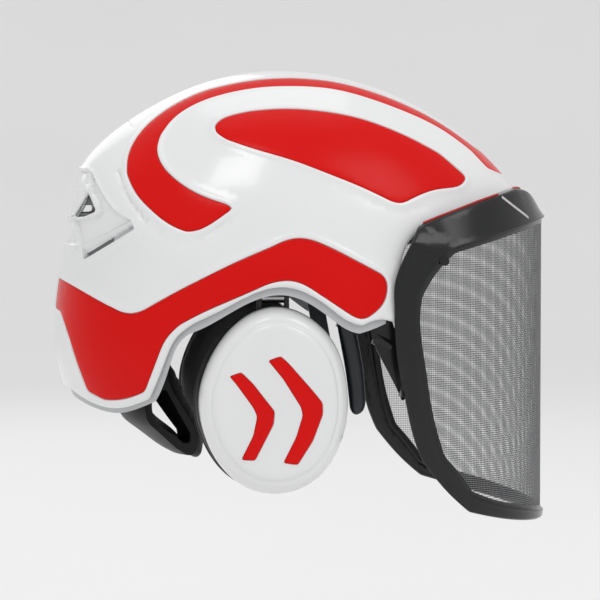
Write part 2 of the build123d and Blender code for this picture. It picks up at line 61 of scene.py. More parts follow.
# ------------------------------------------------------------ shell outlines
SHELL_HALF_WIDTH = 115.0
SIDE_POWER = 2.3
ARCH_POWER = 2.2
SIDE_RING = [
    (187.0, 0.0), (178.5, 43.0), (151.0, 97.5), (110.0, 137.5), (60.0, 163.5),
    (0.0, 174.5), (-40.5, 170.5), (-90.5, 150.0), (-124.0, 125.5),
    (-139.5, 104.0), (-145.0, 74.0), (-150.0, 39.0), (-153.0, 4.0),
    (-148.0, -28.0), (-128.0, -66.0), (-70.0, -118.0), (30.0, -140.0),
    (130.0, -100.0),
]
RIM = [
    [(175, 99), (150.0, 94.5), (118, 86), (92, 77), (80, 73)],
    [(80, 73), (70, 66), (64.5, 56), (61.5, 40), (60, 13)],
    [(60, 13), (50, 15.5), (37, 11.8)],
    [(37, 11.8), (29, 14.5), (17, 23), (4, 31.5), (-11, 36), (-28, 33), (-46, 24), (-67, 13.5)],
    [(-67, 13.5), (-78, 4.5), (-84.5, -9), (-90, -24), (-94.5, -35)],
    [(-94.5, -35), (-104, -39.5), (-118, -42.5), (-132, -39), (-144, -32)],
    [(-144, -32), (-175, -26)],
    [(-175, -26), (-175, 200)],
    [(-175, 200), (175, 200)],
    [(175, 200), (175, 99)],
]
SIDE_PANEL = [
    [(-158, 43), (-138, 33.5), (-124, 26), (-111.5, 20)],
    [(-111.5, 20), (-105, 19.3), (-97.5, 21.6)],
    [(-97.5, 21.6), (-81.6, 31), (-59, 43), (-37, 53.6), (-19.5, 61)],
    [(-19.5, 61), (-8, 65.8), (0, 66.6), (8, 65)],
    [(8, 65), (17.3, 61), (39, 49.8), (50.5, 43.8)],
    [(50.5, 43.8), (53.4, 39.5)],
    [(53.4, 39.5), (52.4, 29), (49, 23)],
    [(49, 23), (43, 18)],
    [(43, 18), (36.8, 15.9), (30.5, 18.2)],
    [(30.5, 18.2), (15.5, 28.2), (3, 36.5)],
    [(3, 36.5), (-4, 39.4), (-12, 40), (-21, 38.2)],
    [(-21, 38.2), (-42, 29), (-64, 19), (-75.6, 12.7)],
    [(-75.6, 12.7), (-84, 3.8), (-89, -7.5), (-93.5, -20), (-97, -30)],
    [(-97, -30), (-105, -33.8), (-116, -36.5), (-122, -36.7)],
    [(-122, -36.7), (-132, -32)],
    [(-132, -32), (-139, -13), (-145.3, 7), (-149, 18)],
    [(-149, 18), (-158, 22)],
    [(-158, 22), (-158, 43)],
]
LEAF_PANEL = [
    [(-50.5, 132), (-51.6, 136), (-48, 140.5), (-40, 143.8), (-29, 146.2)],
    [(-29, 146.2), (-15, 147.5), (0, 147.7), (20, 145.9), (39, 142.4), (56, 137), (74, 129.4),
     (92.5, 119.8)],
    [(92.5, 119.8), (104, 110), (110, 104.6)],
    [(110, 104.6), (109, 102.6), (90, 96.8), (70.5, 90.4)],
    [(70.5, 90.4), (64, 88), (58.5, 88.6)],
    [(58.5, 88.6), (41, 97), (17.6, 106.5), (-5, 115), (-28, 122), (-45, 128)],
    [(-45, 128), (-50.5, 132)],
]
STRIPE_PANEL = [
    [(-46, 87.5), (-64, 94.2), (-76.5, 102.5), (-85, 112), (-87.8, 121), (-85.5, 130.5)],
    [(-85.5, 130.5), (-79, 139.2), (-67, 148.5), (-49, 156), (-32, 160), (-14, 162.2), (4, 162.6)],
    [(4, 162.6), (24, 161.2), (47, 155.8), (71, 147.4), (96.5, 135.8), (117, 121.5)],
    [(117, 121.5), (127, 110.5)],
    [(127, 110.5), (136, 107.5), (152, 103)],
    [(152, 103), (138, 132)],
    [(138, 132), (126, 122.5), (119.5, 126)],
    [(119.5, 126), (97.5, 140.4), (73, 152.6), (48.5, 161.4), (25, 166.8), (0, 168.6)],
    [(0, 168.6), (-18.7, 167.6), (-42.5, 163.6), (-61, 158.2), (-78, 149.6)],
    [(-78, 149.6), (-91, 140), (-102, 127), (-106.4, 116), (-107, 106)],
    [(-107, 106), (-102, 94.5), (-93, 84), (-81, 74.5), (-71.5, 70.2)],
    [(-71.5, 70.2), (-67, 70.6), (-50, 79.3), (-42, 85)],
    [(-42, 85), (-46, 87.5)],
]
SIDE_PANEL_END = 14.0
# Openings and lines at the back of the shell, in the same side view.
CORNER_VENT = [(-131.8, 94.5), (-140.6, 79.0), (-134.5, 79.6), (-127.2, 83.0)]
SLOT_TOP = [(-104.5, 77.0), (-135.4, 60.5)]
SLOT_LOW = [(-103.0, 71.8), (-134.4, 51.8)]
BACK_STEP = [
    (-142.0, 109.6), (-138.2, 110.6), (-132.8, 110.2), (-128.6, 108.0), (-124.9, 100.0),
    (-121.9, 94.3), (-118.9, 89.3), (-114.7, 83.7),
]
STRIPE_STEP = [(-112.3, 108.9), (-110.4, 100.6), (-106.4, 91.4), (-100.9, 83.2), (-96.2, 76.6)]
LOWER_STEP = [
    (-95.2, 77.8), (-88.6, 71.6), (-80.1, 66.6), (-70.9, 64.6), (-59.9, 68.2), (-47.4, 75.6),
    (-38.5, 81.0),
]
BACK_CREASE = [(-137.4, 42.4), (-124.1, 51.4), (-111.8, 59.8), (-101.0, 67.6)]
SPINE_NOTCH = [(-104.6, 141.5), (-101.8, 136.0)]
HOLLOW_END = [(-146.5, 61.0), (-152.0, 61.0), (-152.0, 112.0)]
BACK_AREA = [(-95, 116), (-95, 40), (-152, 40), (-152, 120), (-110, 145), (-96, 145)]


# ------------------------------------------------------------ curve helpers
FINE_STEP = 0.4


def smooth_run(points, step=1.0):
    """Points along a smooth curve through points, or along a line for two of them."""
    given = np.array(points, float)
    chords = np.linalg.norm(np.diff(given, axis=0), axis=1)
    at = np.concatenate([[0.0], np.cumsum(chords)])
    count = max(2, int(at[-1] / step) + 1)
    where = np.linspace(0, at[-1], count)
    if len(given) == 2:
        share = (where / at[-1])[:, None]
        return given[0] * (1 - share) + given[1] * share
    bends = spline_bends(at, given)
    return spline_values(at, given, bends, where)


def spline_bends(at, given):
    """Second derivatives of the natural cubic spline through given."""
    n = len(at)
    gaps = np.diff(at)
    matrix = np.zeros((n, n))
    right = np.zeros((n, given.shape[1]))
    matrix[0, 0] = matrix[-1, -1] = 1
    for i in range(1, n - 1):
        matrix[i, i - 1] = gaps[i - 1]
        matrix[i, i] = 2 * (gaps[i - 1] + gaps[i])
        matrix[i, i + 1] = gaps[i]
        right[i] = 6 * (
            (given[i + 1] - given[i]) / gaps[i] - (given[i] - given[i - 1]) / gaps[i - 1]
        )
    return np.linalg.solve(matrix, right)


def spline_values(at, given, bends, where):
    i = np.clip(np.searchsorted(at, where, side="right") - 1, 0, len(at) - 2)
    gap = (at[i + 1] - at[i])[:, None]
    a = (at[i + 1] - where)[:, None] / gap
    b = 1 - a
    bend = ((a**3 - a) * bends[i] + (b**3 - b) * bends[i + 1]) * gap**2 / 6
    return a * given[i] + b * given[i + 1] + bend


def polar_radius(ring, centre=(0.0, 0.0)):
    """A function of angle giving the radius of a smooth ring round centre."""
    around = np.array(ring, float) - np.array(centre)
    angle = np.unwrap(np.arctan2(around[:, 1], around[:, 0]))
    if angle[-1] < angle[0]:
        angle, around = angle[::-1], around[::-1]
    radius = np.hypot(around[:, 0], around[:, 1])
    turn = 2 * math.pi
    angles = np.concatenate([angle - turn, angle, angle + turn])
    radii = np.tile(radius, 3)[:, None]
    bends = spline_bends(angles, radii)

    def at(theta):
        wrapped = (np.asarray(theta, float) - angle[0]) % turn + angle[0]
        return spline_values(angles, radii, bends, wrapped.ravel())[:, 0].reshape(wrapped.shape)

    return at


def even_loop(points, step):
    """A closed loop of points at even steps."""
    loop = np.vstack([points, points[:1]])
    gaps = np.linalg.norm(np.diff(loop, axis=0), axis=1)
    at = np.concatenate([[0.0], np.cumsum(gaps)])
    where = np.linspace(0, at[-1], max(8, int(at[-1] / step)), endpoint=False)
    return np.column_stack([np.interp(where, at, loop[:, k]) for k in (0, 1)])


def soften_loop(points, corner, step):
    """The closed loop with its corners rounded, at even steps."""
    fine = even_loop(np.asarray(points, float), FINE_STEP)
    reach = int(3 * corner / FINE_STEP)
    if reach > 0:
        offsets = np.arange(-reach, reach + 1) * FINE_STEP
        kernel = np.exp(-0.5 * (offsets / (corner * 0.7)) ** 2)
        kernel /= kernel.sum()
        padded = np.vstack([fine[-reach:], fine, fine[:reach]])
        fine = np.column_stack([np.convolve(padded[:, k], kernel, "valid") for k in (0, 1)])
    return even_loop(fine, step)


def moved_out(loop, distance):
    """The loop with every point moved outwards by distance."""
    ahead = np.roll(loop, -1, axis=0) - np.roll(loop, 1, axis=0)
    normal = np.column_stack([ahead[:, 1], -ahead[:, 0]])
    normal /= np.maximum(np.linalg.norm(normal, axis=1), 1e-9)[:, None]
    area = np.sum(loop[:, 0] * np.roll(loop[:, 1], -1) - np.roll(loop[:, 0], -1) * loop[:, 1])
    return loop + normal * distance * (1 if area > 0 else -1)


def is_inside(points, loop):
    """Whether each point lies in the closed loop."""
    found = np.zeros(len(points), bool)
    following = np.roll(loop, -1, axis=0)
    for a, b in zip(loop, following):
        crosses = (a[1] > points[:, 1]) != (b[1] > points[:, 1])
        if not crosses.any():
            continue
        edge = (b[0] - a[0]) * (points[:, 1] - a[1]) / (b[1] - a[1] + 1e-30) + a[0]
        found ^= crosses & (points[:, 0] < edge)
    return found


def distance_to(points, line, closed=True):
    """The distance of each point from a line of points."""
    ends = np.roll(line, -1, axis=0) if closed else line[1:]
    starts = line if closed else line[:-1]
    best = np.full(len(points), 1e9)
    for a, b in zip(starts, ends):
        run = b - a
        share = np.clip(((points - a) @ run) / max(run @ run, 1e-12), 0, 1)
        gap = points - a - share[:, None] * run
        best = np.minimum(best, np.hypot(gap[:, 0], gap[:, 1]))
    return best


def signed_distance(points, loop):
    """Distance from the loop, positive outside it."""
    away = distance_to(points, loop)
    return np.where(is_inside(points, loop), -away, away)


def eased(values, steps):
    """Heights read along (place, height) steps, flat beyond its ends."""
    places, heights = zip(*steps)
    return np.interp(values, places, heights)


# ------------------------------------------------------------- mesh helpers
def even_grid(low, high, spacing):
    """Points in staggered rows over a rectangle."""
    rows = np.arange(low[1], high[1], spacing * 0.866)
    columns = np.arange(low[0], high[0], spacing)
    across, up = np.meshgrid(columns, rows)
    across[1::2] += 0.5 * spacing
    return np.column_stack([across.ravel(), up.ravel()])


def flat_net(lines, spacing, keep, finer=None):
    """Triangles over the plane that follow lines, with even points between them.

    lines holds (points, closed) pairs; keep says which places are wanted; finer is
    a loop and the closer spacing inside it.
    """
    verts = []
    edges = []
    for points, closed in lines:
        first = len(verts)
        verts.extend(Vector(p) for p in points)
        count = len(points)
        edges += [(first + i, first + i + 1) for i in range(count - 1)]
        if closed:
            edges.append((first + count - 1, first))
    taken = KDTree(len(verts))
    for i, v in enumerate(verts):
        taken.insert((v.x, v.y, 0), i)
    taken.balance()
    ends = np.array([(v.x, v.y) for v in verts])
    grids = [(even_grid(ends.min(0), ends.max(0), spacing), spacing)]
    if finer:
        loop, close = finer
        plain = grids[0][0]
        grids = [(plain[~is_inside(plain, loop)], spacing)]
        inner = even_grid(loop.min(0), loop.max(0), close)
        grids.append((inner[is_inside(inner, loop)], close))
    for grid, gap in grids:
        for x, y in grid[keep(grid)]:
            if taken.find((x, y, 0))[2] > 0.62 * gap:
                verts.append(Vector((x, y)))
    made = delaunay_2d_cdt(verts, edges, [], 0, 1e-4)
    places = np.array([(v.x, v.y) for v in made[0]])
    faces = np.array([f for f in made[2] if len(f) == 3])
    faces = faces[keep(places[faces].mean(axis=1))]
    used = np.unique(faces)
    fresh = np.full(len(places), -1)
    fresh[used] = np.arange(len(used))
    return places[used], fresh[faces]


def new_object(name, points, faces, sharp=35.0, weld=0.0):
    """A mesh object in metres from points in millimetres."""
    mesh = bpy.data.meshes.new(name)
    mesh.from_pydata((np.asarray(points) * MM).tolist(), [], [list(map(int, f)) for f in faces])
    if weld > 0:
        work = bmesh.new()
        work.from_mesh(mesh)
        bmesh.ops.remove_doubles(work, verts=work.verts, dist=weld * MM)
        bmesh.ops.recalc_face_normals(work, faces=work.faces)
        work.to_mesh(mesh)
        work.free()
    mesh.shade_smooth()
    mesh.set_sharp_from_angle(angle=math.radians(sharp))
    made = bpy.data.objects.new(name, mesh)
    bpy.context.scene.collection.objects.link(made)
    return made


def thicken(made, wall):
    """Gives a skin its wall, inwards."""
    shell = made.modifiers.new("wall", "SOLIDIFY")
    shell.thickness = wall * MM
    shell.offset = -1
    shell.use_even_offset = False
    return made


def mirrored(points, faces):
    """Both halves of something modelled on the wearer's right."""
    other = points * np.array([1.0, -1.0, 1.0])
    return np.vstack([points, other]), np.vstack([faces, faces[:, ::-1] + len(points)])


def finish_piece(made, body, slot, material, *nodes):
    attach(made, body)
    if nodes:
        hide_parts(*nodes)
    made.data.materials.clear()
    made.data.materials.append(material)
    return made


# ----------------------------------------------------------------- materials
class Paint:
    """Builds one node material, step by step."""

    def __init__(self, name, colour, roughness, **sockets):
        self.material = bpy.data.materials.get(name) or bpy.data.materials.new(name)
        self.material.use_nodes = True
        tree = self.material.node_tree
        tree.nodes.clear()
        self.nodes, self.links = tree.nodes, tree.links
        self.shader = self.nodes.new("ShaderNodeBsdfPrincipled")
        out = self.nodes.new("ShaderNodeOutputMaterial")
        self.links.new(self.shader.outputs["BSDF"], out.inputs["Surface"])
        self.shader.inputs["Base Color"].default_value = (*colour, 1)
        self.shader.inputs["Roughness"].default_value = roughness
        for socket, value in sockets.items():
            self.shader.inputs[socket.replace("_", " ")].default_value = value
        self.place = self.nodes.new("ShaderNodeTexCoord").outputs["Object"]

    def add(self, kind, **settings):
        node = self.nodes.new(kind)
        for key, value in settings.items():
            if hasattr(node, key):
                setattr(node, key, value)
            else:
                node.inputs[key.replace("_", " ")].default_value = value
        return node

    def noise(self, scale, detail=3.0, stretch=None):
        node = self.add("ShaderNodeTexNoise")
        node.inputs["Scale"].default_value = scale
        node.inputs["Detail"].default_value = detail
        place = self.place
        if stretch:
            mapping = self.add("ShaderNodeMapping")
            mapping.inputs["Scale"].default_value = stretch
            self.links.new(place, mapping.inputs["Vector"])
            place = mapping.outputs["Vector"]
        self.links.new(place, node.inputs["Vector"])
        return node.outputs["Fac"]

    def bands(self, scale, direction):
        node = self.add("ShaderNodeTexWave", bands_direction=direction, wave_profile="SIN")
        node.inputs["Scale"].default_value = scale
        self.links.new(self.place, node.inputs["Vector"])
        return node.outputs["Fac"]

    def spread(self, value, low, high):
        node = self.add("ShaderNodeMapRange")
        self.links.new(value, node.inputs["Value"])
        node.inputs["To Min"].default_value = low
        node.inputs["To Max"].default_value = high
        return node.outputs["Result"]

    def combine(self, kind, a, b):
        node = self.add("ShaderNodeMath", operation=kind)
        for socket, value in zip(node.inputs, (a, b)):
            if isinstance(value, (int, float)):
                socket.default_value = value
            else:
                self.links.new(value, socket)
        return node.outputs[0]

    def two_colours(self, value, first, second):
        node = self.add("ShaderNodeMix", data_type="RGBA")
        self.links.new(value, node.inputs[0])
        node.inputs[6].default_value = (*first, 1)
        node.inputs[7].default_value = (*second, 1)
        self.links.new(node.outputs[2], self.shader.inputs["Base Color"])

    def rough(self, value, low, high):
        self.links.new(self.spread(value, low, high), self.shader.inputs["Roughness"])

    def bump(self, value, strength, depth=0.0002):
        node = self.add("ShaderNodeBump")
        node.inputs["Strength"].default_value = strength
        node.inputs["Distance"].default_value = depth
        self.links.new(value, node.inputs["Height"])
        self.links.new(node.outputs["Normal"], self.shader.inputs["Normal"])


def moulded(name, colour, roughness, grain=900.0, strength=0.05, shift=0.06, **sockets):
    """Moulded plastic: a fine grain and a slight drift of tone."""
    paint = Paint(name, colour, roughness, **sockets)
    drift = paint.noise(14.0, 2.0)
    darker = tuple(c * (1 - shift) for c in colour)
    paint.two_colours(drift, darker, colour)
    paint.rough(paint.noise(60.0, 4.0), roughness * 0.85, min(1.0, roughness * 1.2))
    paint.bump(paint.noise(grain, 2.0), strength)
    return paint.material


def woven(name, colour, pitch, along="X", across="Z", strength=0.6):
    """Woven webbing or pad cloth: crossing threads with a soft fuzz."""
    paint = Paint(name, colour, 0.85, Sheen_Weight=0.3, Sheen_Roughness=0.5)
    scale = 1.0 / (pitch * MM) / 6.2832 * 2.0
    threads = paint.combine("MULTIPLY", paint.bands(scale, along), paint.bands(scale, across))
    fuzz = paint.noise(1800.0, 3.0)
    height = paint.combine("ADD", threads, paint.combine("MULTIPLY", fuzz, 0.35))
    darker = tuple(c * 0.45 for c in colour)
    lighter = tuple(min(1.0, c * 1.5) for c in colour)
    paint.two_colours(threads, darker, lighter)
    paint.bump(height, strength, 0.0004)
    return paint.material


# ------------------------------------------------------------ shell surface
shell_radius = polar_radius(SIDE_RING)
NET_SCALE = 1.28


def side_to_net(points):
    """From the side view to the shell's flattened net, mid plane on its border."""
    points = np.atleast_2d(np.asarray(points, float))
    theta = np.arctan2(points[:, 1], points[:, 0])
    radius = shell_radius(theta)
    share = np.hypot(points[:, 0], points[:, 1]) / radius
    within = np.clip(share, 0, 1)
    turn = np.arcsin(within ** (ARCH_POWER / 2)) + np.clip(share - 1, 0, 9) * 1.5
    reach = turn / (math.pi / 2) * radius * NET_SCALE
    return np.column_stack([reach * np.cos(theta), reach * np.sin(theta)])


def net_turn(net):
    theta = np.arctan2(net[:, 1], net[:, 0])
    radius = shell_radius(theta)
    return theta, radius, np.hypot(net[:, 0], net[:, 1]) / (radius * NET_SCALE) * math.pi / 2


def net_to_shell(net, lift):
    """The shell's surface over the net, raised by lift along its normal."""
    def place(flat):
        theta, radius, turn = net_turn(flat)
        turn = np.minimum(turn, math.pi / 2)
        share = np.sin(turn) ** (2 / ARCH_POWER)
        y = -SHELL_HALF_WIDTH * np.maximum(np.cos(turn), 0) ** (2 / SIDE_POWER)
        return np.column_stack([radius * share * np.cos(theta), y, radius * share * np.sin(theta)])

    small = 0.4
    pull = net * (1 - 0.004)
    across = place(pull + (small, 0)) - place(pull - (small, 0))
    up = place(pull + (0, small)) - place(pull - (0, small))
    normal = np.cross(across, up)
    normal /= np.linalg.norm(normal, axis=1)[:, None]
    base = place(net)
    outwards = np.sum(normal * base, axis=1) < 0
    normal[outwards] *= -1
    middle = net_turn(net)[2] > math.pi / 2 - 1e-4
    normal[middle, 1] = 0
    normal[middle] /= np.linalg.norm(normal[middle], axis=1)[:, None]
    return base + normal * np.asarray(lift, float)[:, None]


def shell_outline(runs, corner):
    pieces = [smooth_run(run, 0.6)[:-1] for run in runs]
    return soften_loop(side_to_net(np.vstack(pieces)), corner, 1.9)


def end_before_middle(loop, gap):
    """Draws back the part of a loop that comes within gap of the mid plane."""
    theta, radius, turn = net_turn(loop)
    most = math.acos((gap / SHELL_HALF_WIDTH) ** (SIDE_POWER / 2))
    reach = np.minimum(turn, most) / (math.pi / 2) * radius * NET_SCALE
    return np.column_stack([reach * np.cos(theta), reach * np.sin(theta)])


def mid_plane():
    theta = np.linspace(0, 2 * math.pi, 720, endpoint=False)
    reach = shell_radius(theta) * NET_SCALE
    return np.column_stack([reach * np.cos(theta), reach * np.sin(theta)])


# ------------------------------------------------------------- white shell
PANEL_CORNER = 2.2
BACK_SPACING = 1.5
SLIT_WIDTH = 3.0
SLOT_DEPTH = 6.5
HOLLOW_DROP = [(-0.9, -3.0), (0.0, 0.0)]
STRUT_HEIGHT = [(1.7, 2.8), (2.6, 0.0)]
# Each line, how high it stands (below 0 it is a groove) and its half width.
SHELL_LINES = (
    (STRIPE_STEP, -1.7, 0.9), (LOWER_STEP, -1.0, 0.8), (BACK_CREASE, 0.6, 0.8),
    (SPINE_NOTCH, -1.2, 0.6), (BACK_STEP, 0.7, 1.0),
)
LIP = [(-0.02, -0.9), (0.12, 0.2), (0.6, 0.55), (1.5, 0.6), (2.6, 0.35), (3.8, 0.0)]
EDGE_ROUND = [(0.0, -1.5), (0.35, -0.8), (0.9, -0.3), (1.8, 0.0)]
PANEL_GAP = 0.12
PANEL_ROUND = [(0.0, -0.95), (0.12, -0.3), (0.45, -0.06), (1.1, 0.05)]
VENT_ROUND = [(0.0, -1.2), (0.5, -0.4), (1.2, 0.0)]
STRUTS = [
    [(-130.0, 110.0), (-131.4, 97.5), (-140.8, 77.2), (-137.9, 60.0)],
    [(-131.4, 97.5), (-125.6, 82.6), (-141.5, 78.0)],
]


def panel_outlines():
    """The red panels' outlines on the shell's net."""
    side_runs = [smooth_run(run, 0.6)[:-1] for run in SIDE_PANEL]
    side = end_before_middle(side_to_net(np.vstack(side_runs)), SIDE_PANEL_END)
    return {
        "side_panel": soften_loop(side, PANEL_CORNER, 1.5),
        "leaf_panel": shell_outline(LEAF_PANEL, PANEL_CORNER),
        "stripe_panel": shell_outline(STRIPE_PANEL, PANEL_CORNER),
    }


def back_hollow():
    """The sunk area at the back, its slot and its corner opening, on the net."""
    hollow = BACK_STEP + SLOT_TOP + HOLLOW_END
    slot = SLOT_TOP + [SLOT_LOW[1], SLOT_LOW[0]]
    loops = [soften_loop(side_to_net(smooth_close(line)), 0.6, 1.0) for line in (hollow, slot)]
    corner = soften_loop(side_to_net(smooth_close(CORNER_VENT)), 0.9, 1.0)
    return loops[0], loops[1], corner


def smooth_close(corners):
    """A closed polygon's sides as evenly spaced points."""
    return even_loop(np.array(corners, float), 0.8)


def shell_lift(net, panels, hollow, slot, corner, rim):
    """How far the white shell stands off its plain surface."""
    lift = eased(-signed_distance(net, rim), EDGE_ROUND)
    for loop in panels.values():
        lift += eased(signed_distance(net, loop), LIP)
    lift += eased(signed_distance(net, hollow), HOLLOW_DROP)
    inside = is_inside(net, hollow)
    for line in STRUTS:
        away = distance_to(net, side_to_net(smooth_run_line(line)), closed=False)
        lift += np.where(inside, eased(away, STRUT_HEIGHT), 0)
    deep = signed_distance(net, slot)
    top = distance_to(net, side_to_net(smooth_run_line(SLOT_TOP)), closed=False)
    low = distance_to(net, side_to_net(smooth_run_line(SLOT_LOW)), closed=False)
    lift += np.where(deep < -0.3, -SLOT_DEPTH * top / (top + low), 0)
    lift += eased(signed_distance(net, corner), VENT_ROUND)
    for line, height, width in SHELL_LINES:
        away = distance_to(net, side_to_net(smooth_run(line, 1.0)), closed=False)
        lift += height * np.exp(-((away / width) ** 2))
    return lift


def smooth_run_line(corners):
    """Points along straight sides through corners."""
    runs = [smooth_run(pair, 1.0) for pair in zip(corners, corners[1:])]
    return np.vstack(runs)


def make_shell(spacing):
    """The white shell's outer skin, both halves."""
    rim = shell_outline(RIM, 1.0)
    panels = panel_outlines()
    hollow, slot, corner = back_hollow()
    border = mid_plane()
    lines = [(border, True)]
    lines += [(moved_out(rim, -away), True) for away, _ in EDGE_ROUND]
    for loop in panels.values():
        lines += [(moved_out(loop, away), True) for away, _ in LIP]
    lines += [(moved_out(corner, away), True) for away, _ in VENT_ROUND]
    lines += [(hollow, True), (moved_out(hollow, -0.7), True)]
    lines += [(slot, True), (moved_out(slot, -0.35), True)]

    def keep(points):
        wanted = is_inside(points, border) & is_inside(points, rim)
        return wanted & ~is_inside(points, corner)

    back = soften_loop(side_to_net(smooth_close(BACK_AREA)), 0.5, 2.0)
    net, faces = flat_net(lines, spacing, keep, (back, BACK_SPACING))
    middles = net[faces].mean(axis=1)
    slit = distance_to(middles, side_to_net(smooth_run_line(SLOT_LOW)), closed=False)
    within = signed_distance(middles, slot) < -0.4
    faces = faces[~(within & (slit < SLIT_WIDTH))]
    lift = shell_lift(net, panels, hollow, slot, corner, rim)
    return mirrored(net_to_shell(net, lift), faces)


def make_panel(outline, spacing):
    """One red panel's outer skin, with a small round at its edge."""
    border = mid_plane()
    outer = moved_out(outline, -PANEL_GAP)
    lines = [(border, True)] + [(moved_out(outer, -away), True) for away, _ in PANEL_ROUND]

    def keep(points):
        return is_inside(points, border) & is_inside(points, outer)

    net, faces = flat_net(lines, spacing, keep)
    lift = eased(-signed_distance(net, outer), PANEL_ROUND)
    return net_to_shell(net, lift), faces


# -------------------------------------------------------------------- visor
VISOR_START = 54.0
VISOR_DEPTH = 117.0
VISOR_HALF = 113.6
VISOR_WALL = 3.0
VISOR_PIVOT = (36.0, 21.0)
VISOR_LIFT = 62.0
VISOR_REACH = 24.0
VISOR_REACH_ANGLE = 40.0
BROW_LINE = [(60, 73.5), (74, 73.5), (89, 79), (118, 88.5), (149, 97), (159, 95.5), (166, 89),
             (172, 80)]
FRAME_OUT = [
    [(74, 73.5), (89, 79), (118, 88.5), (149, 97)],
    [(149, 97), (159, 95.5), (166, 89), (172, 80)],
    [(172, 80), (190, 70)],
    [(190, 70), (190, -121)],
    [(190, -121), (171, -119.5), (150, -116.5), (128, -112), (107, -106.5)],
    [(107, -106.5), (94, -95), (76, -74)],
    [(76, -74), (70.3, -60), (64, -33), (59.5, -12), (57.5, 8)],
    [(57.5, 8), (57.3, 24), (57.6, 38), (61.5, 50), (74, 73.5)],
]
FRAME_IN = [
    [(97, 57), (120, 63), (150, 71), (190, 80)],
    [(190, 80), (190, -115)],
    [(190, -115), (171, -112), (150, -106.5), (128, -101), (109, -93.5)],
    [(109, -93.5), (98, -79), (90, -70)],
    [(90, -70), (82.5, -44), (77.5, -14), (74, 16), (75, 29)],
    [(75, 29), (80, 38), (90, 50.5), (97, 57)],
]
FACET_LOW = [(69.0, 64.1), (86.5, 56.3)]
FACET_HIGH = [(76.5, 74.6), (98.0, 62.7)]
BROW_LEAN = 7.5
BROW_ROOM = 1.4
WIRE_INSET = 1.9
LEAN_SHARE = [(0, 0.35), (70, 1.0)]
REBATE_WIDTH = 4.2
FRAME_CORNER = 1.6
WINDOW_CORNER = 2.5
FRAME_ROUND = [(0.0, -1.3), (0.4, -0.6), (1.0, -0.15), (1.9, 0.0)]
FRAME_FLANGE = [(0.0, -1.5), (3.0, -1.3), (3.3, 0.15), (3.9, 0.4), (4.8, 0.0)]
# Where the light strip crosses the brow: a painted reflection of the glossy brow.
PAINTED_GLINT_LINE = [(135.0, 92.0), (151.0, 78.6)]


def visor_plan():
    """Across and along the visor's outer wall from its front: reach, x, y and facing."""
    turn = np.linspace(0, math.pi / 2, 4000)
    x = VISOR_START + VISOR_DEPTH * np.cos(turn) ** (2 / 2.2)
    y = -VISOR_HALF * np.sin(turn) ** (2 / 2.2)
    x = np.append(x, VISOR_START - 30)
    y = np.append(y, -VISOR_HALF)
    reach = np.concatenate([[0], np.cumsum(np.hypot(np.diff(x), np.diff(y)))])
    face_x, face_y = np.gradient(-y, reach), np.gradient(x, reach)
    face_y = np.minimum(face_y, 0)
    size = np.hypot(face_x, face_y)
    return reach, x, y, face_x / size, face_y / size


PLAN = visor_plan()


def side_to_visor(points):
    """From the side view to the visor's unrolled wall."""
    points = np.atleast_2d(np.asarray(points, float))
    reach, x = PLAN[0], PLAN[1]
    along = np.interp(-points[:, 0], -x, reach)
    beyond = points[:, 0] > VISOR_START + VISOR_DEPTH
    along[beyond] = VISOR_START + VISOR_DEPTH - points[beyond, 0]
    return np.column_stack([along, points[:, 1]])


def net_to_visor(net, lift):
    reach, x, y, face_x, face_y = PLAN
    along = np.abs(net[:, 0])
    side = np.where(net[:, 0] < 0, -1.0, 1.0)
    fx, fy = (np.interp(along, reach, face) for face in (face_x, face_y))
    px = np.interp(along, reach, x) + fx * lift
    py = np.interp(along, reach, y) + fy * lift
    return np.column_stack([px, py * side, net[:, 1]])


def visor_outline(runs, corner):
    pieces = [smooth_run(run, 0.5)[:-1] for run in runs]
    return soften_loop(side_to_visor(np.vstack(pieces)), corner, 1.5)


def brow_lean(net, outer, window):
    """How far the brow and its corner facet lean in towards the shell."""
    from_window = np.maximum(distance_to(net, window) - REBATE_WIDTH, 1e-6)
    from_edge = distance_to(net, outer)
    across = from_window / (from_window + from_edge)
    low, high = side_to_visor(FACET_LOW), side_to_visor(FACET_HIGH)

    def past(line):
        run = line[1] - line[0]
        away = (net[:, 0] - line[0][0]) * run[1] - (net[:, 1] - line[0][1]) * run[0]
        return away / np.hypot(*run)

    after_low, after_high = past(low), past(high)
    share = np.clip(after_low / np.maximum(after_low - after_high, 1e-6), 0, 1)
    share = np.where(after_high > 0, 1.0, np.where(after_low < 0, 0.0, share))
    share = np.where(net[:, 1] < 40, 0.0, share)
    front = eased(net[:, 0], LEAN_SHARE)
    return BROW_LEAN * share * across * front


def make_visor_frame(spacing):
    """The visor's moulded frame, with its rebate and the leaning brow."""
    outer = visor_outline(FRAME_OUT, FRAME_CORNER)
    window = visor_outline(FRAME_IN, WINDOW_CORNER)
    front = np.array([(0.0, z) for z in np.arange(-125.0, 100.0, 1.5)])
    lines = [(front, False)]
    lines += [(moved_out(outer, -away), True) for away, _ in FRAME_ROUND]
    lines += [(moved_out(window, away), True) for away, _ in FRAME_FLANGE]
    lines += [(side_to_visor(smooth_run(line, 1.5)), False) for line in (FACET_LOW, FACET_HIGH)]

    def keep(points):
        wanted = (points[:, 0] > 0) & is_inside(points, outer)
        return wanted & ~is_inside(points, window)

    net, faces = flat_net(lines, spacing, keep)
    lift = eased(-signed_distance(net, outer), FRAME_ROUND)
    lift += eased(signed_distance(net, window), FRAME_FLANGE)
    lift -= brow_lean(net, outer, window)
    return mirrored(net_to_visor(net, lift), faces)


def inside_shell(points, grown):
    """Whether points lie inside the shell's outer face moved out by grown."""
    theta = np.arctan2(points[:, 2], points[:, 0])
    share = np.hypot(points[:, 0], points[:, 2]) / (shell_radius(theta) + grown)
    width = np.abs(points[:, 1]) / (SHELL_HALF_WIDTH + grown)
    return share**ARCH_POWER + width**SIDE_POWER < 1


